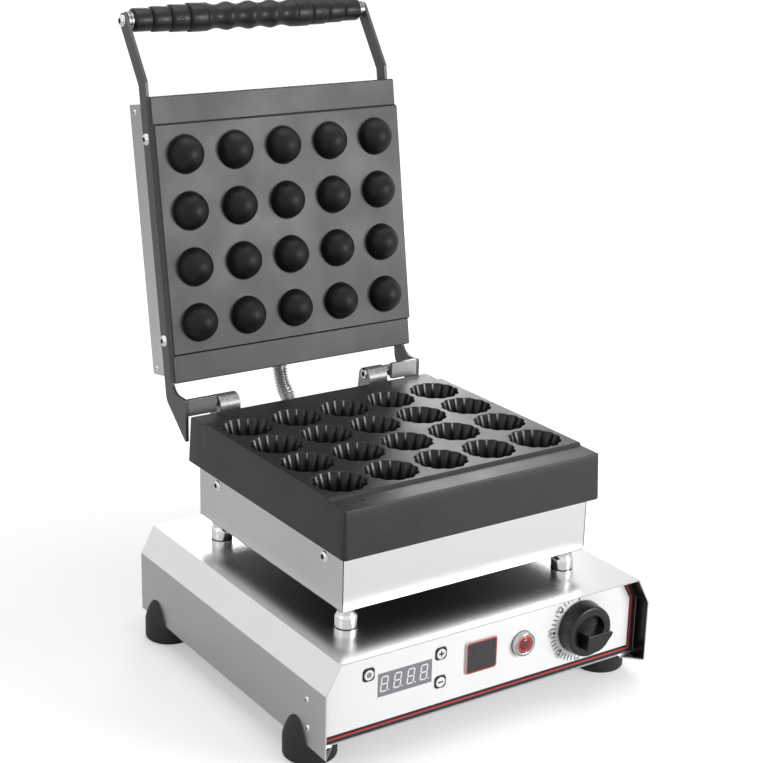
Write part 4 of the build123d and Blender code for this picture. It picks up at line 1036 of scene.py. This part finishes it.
def digit(x, z, y):
    """Seven six-sided bars of one digit and its point, leaning a little to the right."""
    wide, high, thick, lean, gap = 7.1, 13.4, 1.2, 0.11, 0.2
    sheets = []
    half_w, half_h = (wide - thick) / 2, (high - thick) / 2
    lines = [((-half_w, s * half_h), (half_w, s * half_h)) for s in (-1, 0, 1)]
    for s in (-half_w, half_w):
        lines += [((s, t * half_h), (s, (t + 1) * half_h)) for t in (-1, 0)]
    for start, end in lines:
        start, end = np.array(start), np.array(end)
        way = (end - start) / np.linalg.norm(end - start)
        side = np.array([-way[1], way[0]]) * thick / 2
        tip = way * thick / 2
        a, b = start + way * (gap + thick / 2), end - way * (gap + thick / 2)
        ring = np.array([a - tip, a - side, b - side, b + tip, b + side, a + side])
        ring[:, 0] += lean * ring[:, 1]
        sheets.append(front_prism(ring, x, z, (y - 0.12 * MM, y)))
    sheets.append(disc(x + wide / 2 + 1.4 - lean * half_h, z - half_h, y - 0.1 * MM, 0.65, 20))
    return sheets


segments, digit_z = [], (display_low.z + display_high.z) / 2 / MM + 0.3
for index in range(4):
    segments += digit(-97.0 + index * 12.33, digit_z, display_low.y)
piece("display_segments", segments, "base", ink_white)


# Lamp: a red pilot lens in a polished bezel that is clipped through the panel. A dark disc and a
# bright ring show behind the clear red face.
lamp_low, lamp_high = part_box("lamp_bezel")
lamp_place = ((lamp_low.x + lamp_high.x) / 2, FACE_Y, (lamp_low.z + lamp_high.z) / 2)
bezel = np.array([
    (-1.2, 0), (-1.2, 8.0), (0, 8.0), (0, 10.3), (0.3, 10.3), (3.6, 10.3), (4.3, 10.1),
    (4.8, 9.6), (5.0, 9.0), (4.95, 8.0), (4.7, 7.4), (3.0, 7.32), (1.2, 7.3), (1.2, 0),
]) * MM
# Two near-black rings are painted shade: a shadow round the bezel's foot and the dark of a groove
# round its side.
bezel_shadow_ring = np.array([(0, 10.2), (0.06, 10.2), (0.06, 10.75), (0, 10.75), (0, 10.2)]) * MM
groove_shade_ring = np.array([(4.9, 9.35), (5.03, 9.3), (5.03, 9.0), (4.9, 8.95), (4.9, 9.35)]) * MM
crown = np.linspace(0, math.pi / 2, 10)
lens = np.concatenate([
    [(1.25, 0), (1.25, 7.2), (3.9, 7.2), (4.5, 7.0), (4.8, 6.5), (4.7, 5.9), (4.4, 5.4)],
    np.stack([4.4 + 1.1 * np.sin(crown), 5.0 * np.cos(crown)], -1),
]) * MM

# The lens is deep red, darker over the disc in its middle.
lamp_red, tree, shader = new_material("lamp_red")
clouds = add_node(tree, "Group", node_tree=speckle, Grain=400).outputs["Clouds"]
red = mix_colours(tree, clouds, (0.52, 0.018, 0.024), (0.66, 0.03, 0.036))
disc_mask = add_node(tree, "Attribute", attribute_name="coat").outputs["Fac"]
lens_red = mix_colours(tree, disc_mask, red, (0.16, 0.006, 0.012))
wire(shader, Base_Color=lens_red, Roughness=0.12, Coat_Weight=0.6)
lamp_metal = plated("lamp_metal", 0.6, 0.14)
lens_mask = [np.repeat((lens[:, 1] < 5.3 * MM).astype(float), 64)]
for name, profile, slot, material, nodes, sharp, masks in (
    ("lamp_ring", bezel, "plated_steel", lamp_metal, ["lamp_bezel"], 40, None),
    ("lamp_shadow_ring", bezel_shadow_ring, "plated_steel", shade_and_seam_black, (), 35, None),
    ("lamp_groove_shade", groove_shade_ring, "plated_steel", shade_and_seam_black, (), 35, None),
    ("lamp_lens_red", lens, "lamp_red", lamp_red, ["lamp_lens"], 40, lens_mask),
):
    sheets = [lathe(profile, 64, lamp_place, (0, -1, 0))]
    piece(name, sheets, "base", material, nodes, sharp, masks)


# Thermostat: a moulded black knob pushed on its shaft, with a raised ring, a dished face and a
# half-round finger block, over a printed scale with arrowheads and generic numbers.
knob_low, knob_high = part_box("thermostat_knob")
KNOB_X, KNOB_Z = (knob_low.x + knob_high.x) / 2, (knob_low.z + knob_high.z) / 2
KNOB_BACK = knob_high.y
KNOB_FACE = 14.0
knob_profile = np.array([
    (0, 0), (0, 22.4), (0.6, 22.95), (1.6, 22.9), (12.7, 21.6), (13.5, 21.3), (13.9, 20.7),
    (KNOB_FACE, 20.0), (KNOB_FACE, 15.0), (13.8, 14.5), (13.2, 14.2), (8.6, 13.4), (8.15, 13.0),
    (8.0, 12.4), (8.0, 0),
]) * MM
knob_black = plain_finish("knob_black", (0.007, 0.007, 0.008), 0.24, 500, 0.5)
knob = lathe(knob_profile, 96, (KNOB_X, KNOB_BACK, KNOB_Z), (0, -1, 0))
piece("knob_body", [knob], "knob", knob_black, ["thermostat_knob"], 40)

# Finger block: a prism on the knob's face from an outline of x and z, its edges rounded.
turns = np.radians(np.linspace(-30, -125, 24))
half_disc = 15.0 * np.column_stack([np.cos(turns), np.sin(turns)])
ring = np.array([(-8.6, 0.8), (12.8, 0.8), (17.9, -0.9), (16.2, -4.2), *half_disc]) * MM
count = len(ring)
points = []
for depth in (7.9, 21.6):
    y = np.full(count, KNOB_BACK - depth * MM)
    points.append(np.stack([KNOB_X + ring[:, 0], y, KNOB_Z + ring[:, 1]], -1))
i = np.arange(count)
k = (i + 1) % count
walls = np.stack([i, k, count + k, count + i], -1).tolist()
ends = [i.tolist()[::-1], (count + i).tolist()]
mesh = bpy.data.meshes.new("knob_blade")
mesh.from_pydata(np.concatenate(points).tolist(), [], walls + ends)
tidied(mesh, mesh, 0.004 * MM)
mesh.materials.append(knob_black)
round_edges(placed("knob_blade", mesh, "knob"), 0.6 * MM, 3)


def groove_arc(radius, width, start, end, steps=60):
    """Thin raised arc on the knob's ring face, with its ends drawn to nothing."""
    angle = np.radians(np.linspace(start, end, steps))
    half = width / 2 * np.sin(np.linspace(0, math.pi, steps)) ** 0.15
    rows = []
    for offset, lift in ((-half, 0), (-0.5 * half, 0.16), (0.5 * half, 0.16), (half, 0)):
        r = (radius + offset) * MM
        y = np.full(steps, KNOB_BACK - (KNOB_FACE + lift - 0.05) * MM)
        rows.append(np.stack([KNOB_X + r * np.cos(angle), y, KNOB_Z + r * np.sin(angle)], -1))
    back = (0, 0.12 * MM, 0)
    return np.array([*rows, rows[3] + back, rows[0] + back, rows[0]])


piece("knob_groove", [(groove_arc(18.6, 0.8, 80, 200), False)], "knob", knob_black)


def numeral_mesh(words, size, x, z, turn):
    """Flat generic numerals in their place on the overlay, turned by an angle."""
    curve = bpy.data.curves.new("numeral", "FONT")
    curve.body = words
    curve.size = size * MM
    curve.align_x, curve.align_y = "CENTER", "CENTER"
    mesh, flat = curve_mesh(curve)
    px = flat[:, 0] * math.cos(turn) - flat[:, 1] * math.sin(turn)
    pz = flat[:, 0] * math.sin(turn) + flat[:, 1] * math.cos(turn)
    place = np.stack([x * MM + px, np.full(len(px), FACE_Y - 0.07 * MM), z * MM + pz], -1)
    mesh.vertices.foreach_set("co", place.reshape(-1))
    mesh.update()
    mesh.materials.clear()
    mesh.materials.append(ink_black)
    return mesh


def across(way):
    """Unit direction of x and z, and the one square to it."""
    way = np.asarray(way, float)
    way = way / np.linalg.norm(way)
    return way, np.array([-way[1], way[0]])


SCALE_X, SCALE_Z = KNOB_X / MM, KNOB_Z / MM
TICK_START, TICK_END, TICK_HALF = 25.7, 30.8, 0.42
PRINT_BACK = FACE_Y - 0.01 * MM
ticks = []
for angle in np.radians(np.linspace(88, 272, 25)):
    way, side = across((math.cos(angle), math.sin(angle)))
    start, end, side = way * TICK_START, way * TICK_END, side * TICK_HALF
    ring = np.array([start - side, start + side, end + side, end - side])
    ticks.append(front_prism(ring, SCALE_X, SCALE_Z, (FACE_Y - 0.08 * MM, PRINT_BACK)))
for x, z in ((94.4, 84.3), (76.7, 77.1), (69.8, 59.2), (77.3, 41.4)):
    way, side = across((SCALE_X - x, SCALE_Z - z))
    ring = [way * 2.4, side * 1.5 - way * 1.2, -side * 1.5 - way * 1.2]
    ticks.append(front_prism(ring, x, z, (FACE_Y - 0.1 * MM, PRINT_BACK)))
piece("scale_ticks", ticks, "base", ink_black)
for words, x, z, turn in (
    ("300", 72.6, 79.0, 50), ("200", 65.2, 60.3, 90), ("100", 73.9, 38.4, -45), ("0", 95.3, 28.6, 0)
):
    mesh = numeral_mesh(words, 5.0, x, z, math.radians(turn))
    placed(f"scale_{words}", mesh, "base")


# Inside and behind: heaters, insulation, board, terminal block, the display's body and the
# supply lead's gland. All are plain bought parts, screwed or clamped in place.
fibre = plain_finish("fibre_board", (0.72, 0.7, 0.64), 0.7)
board_green = plain_finish("board_green", (0.03, 0.1, 0.05), 0.4)
dress(fibre, "lower_insulation", "upper_insulation")
dress(plated("heater_steel", 0.3, 0.4), "lower_heater", "upper_heater")
dress(board_green, "control_board", "terminal_block", "thermostat_body")
dress(black_plastic, "cord_gland")
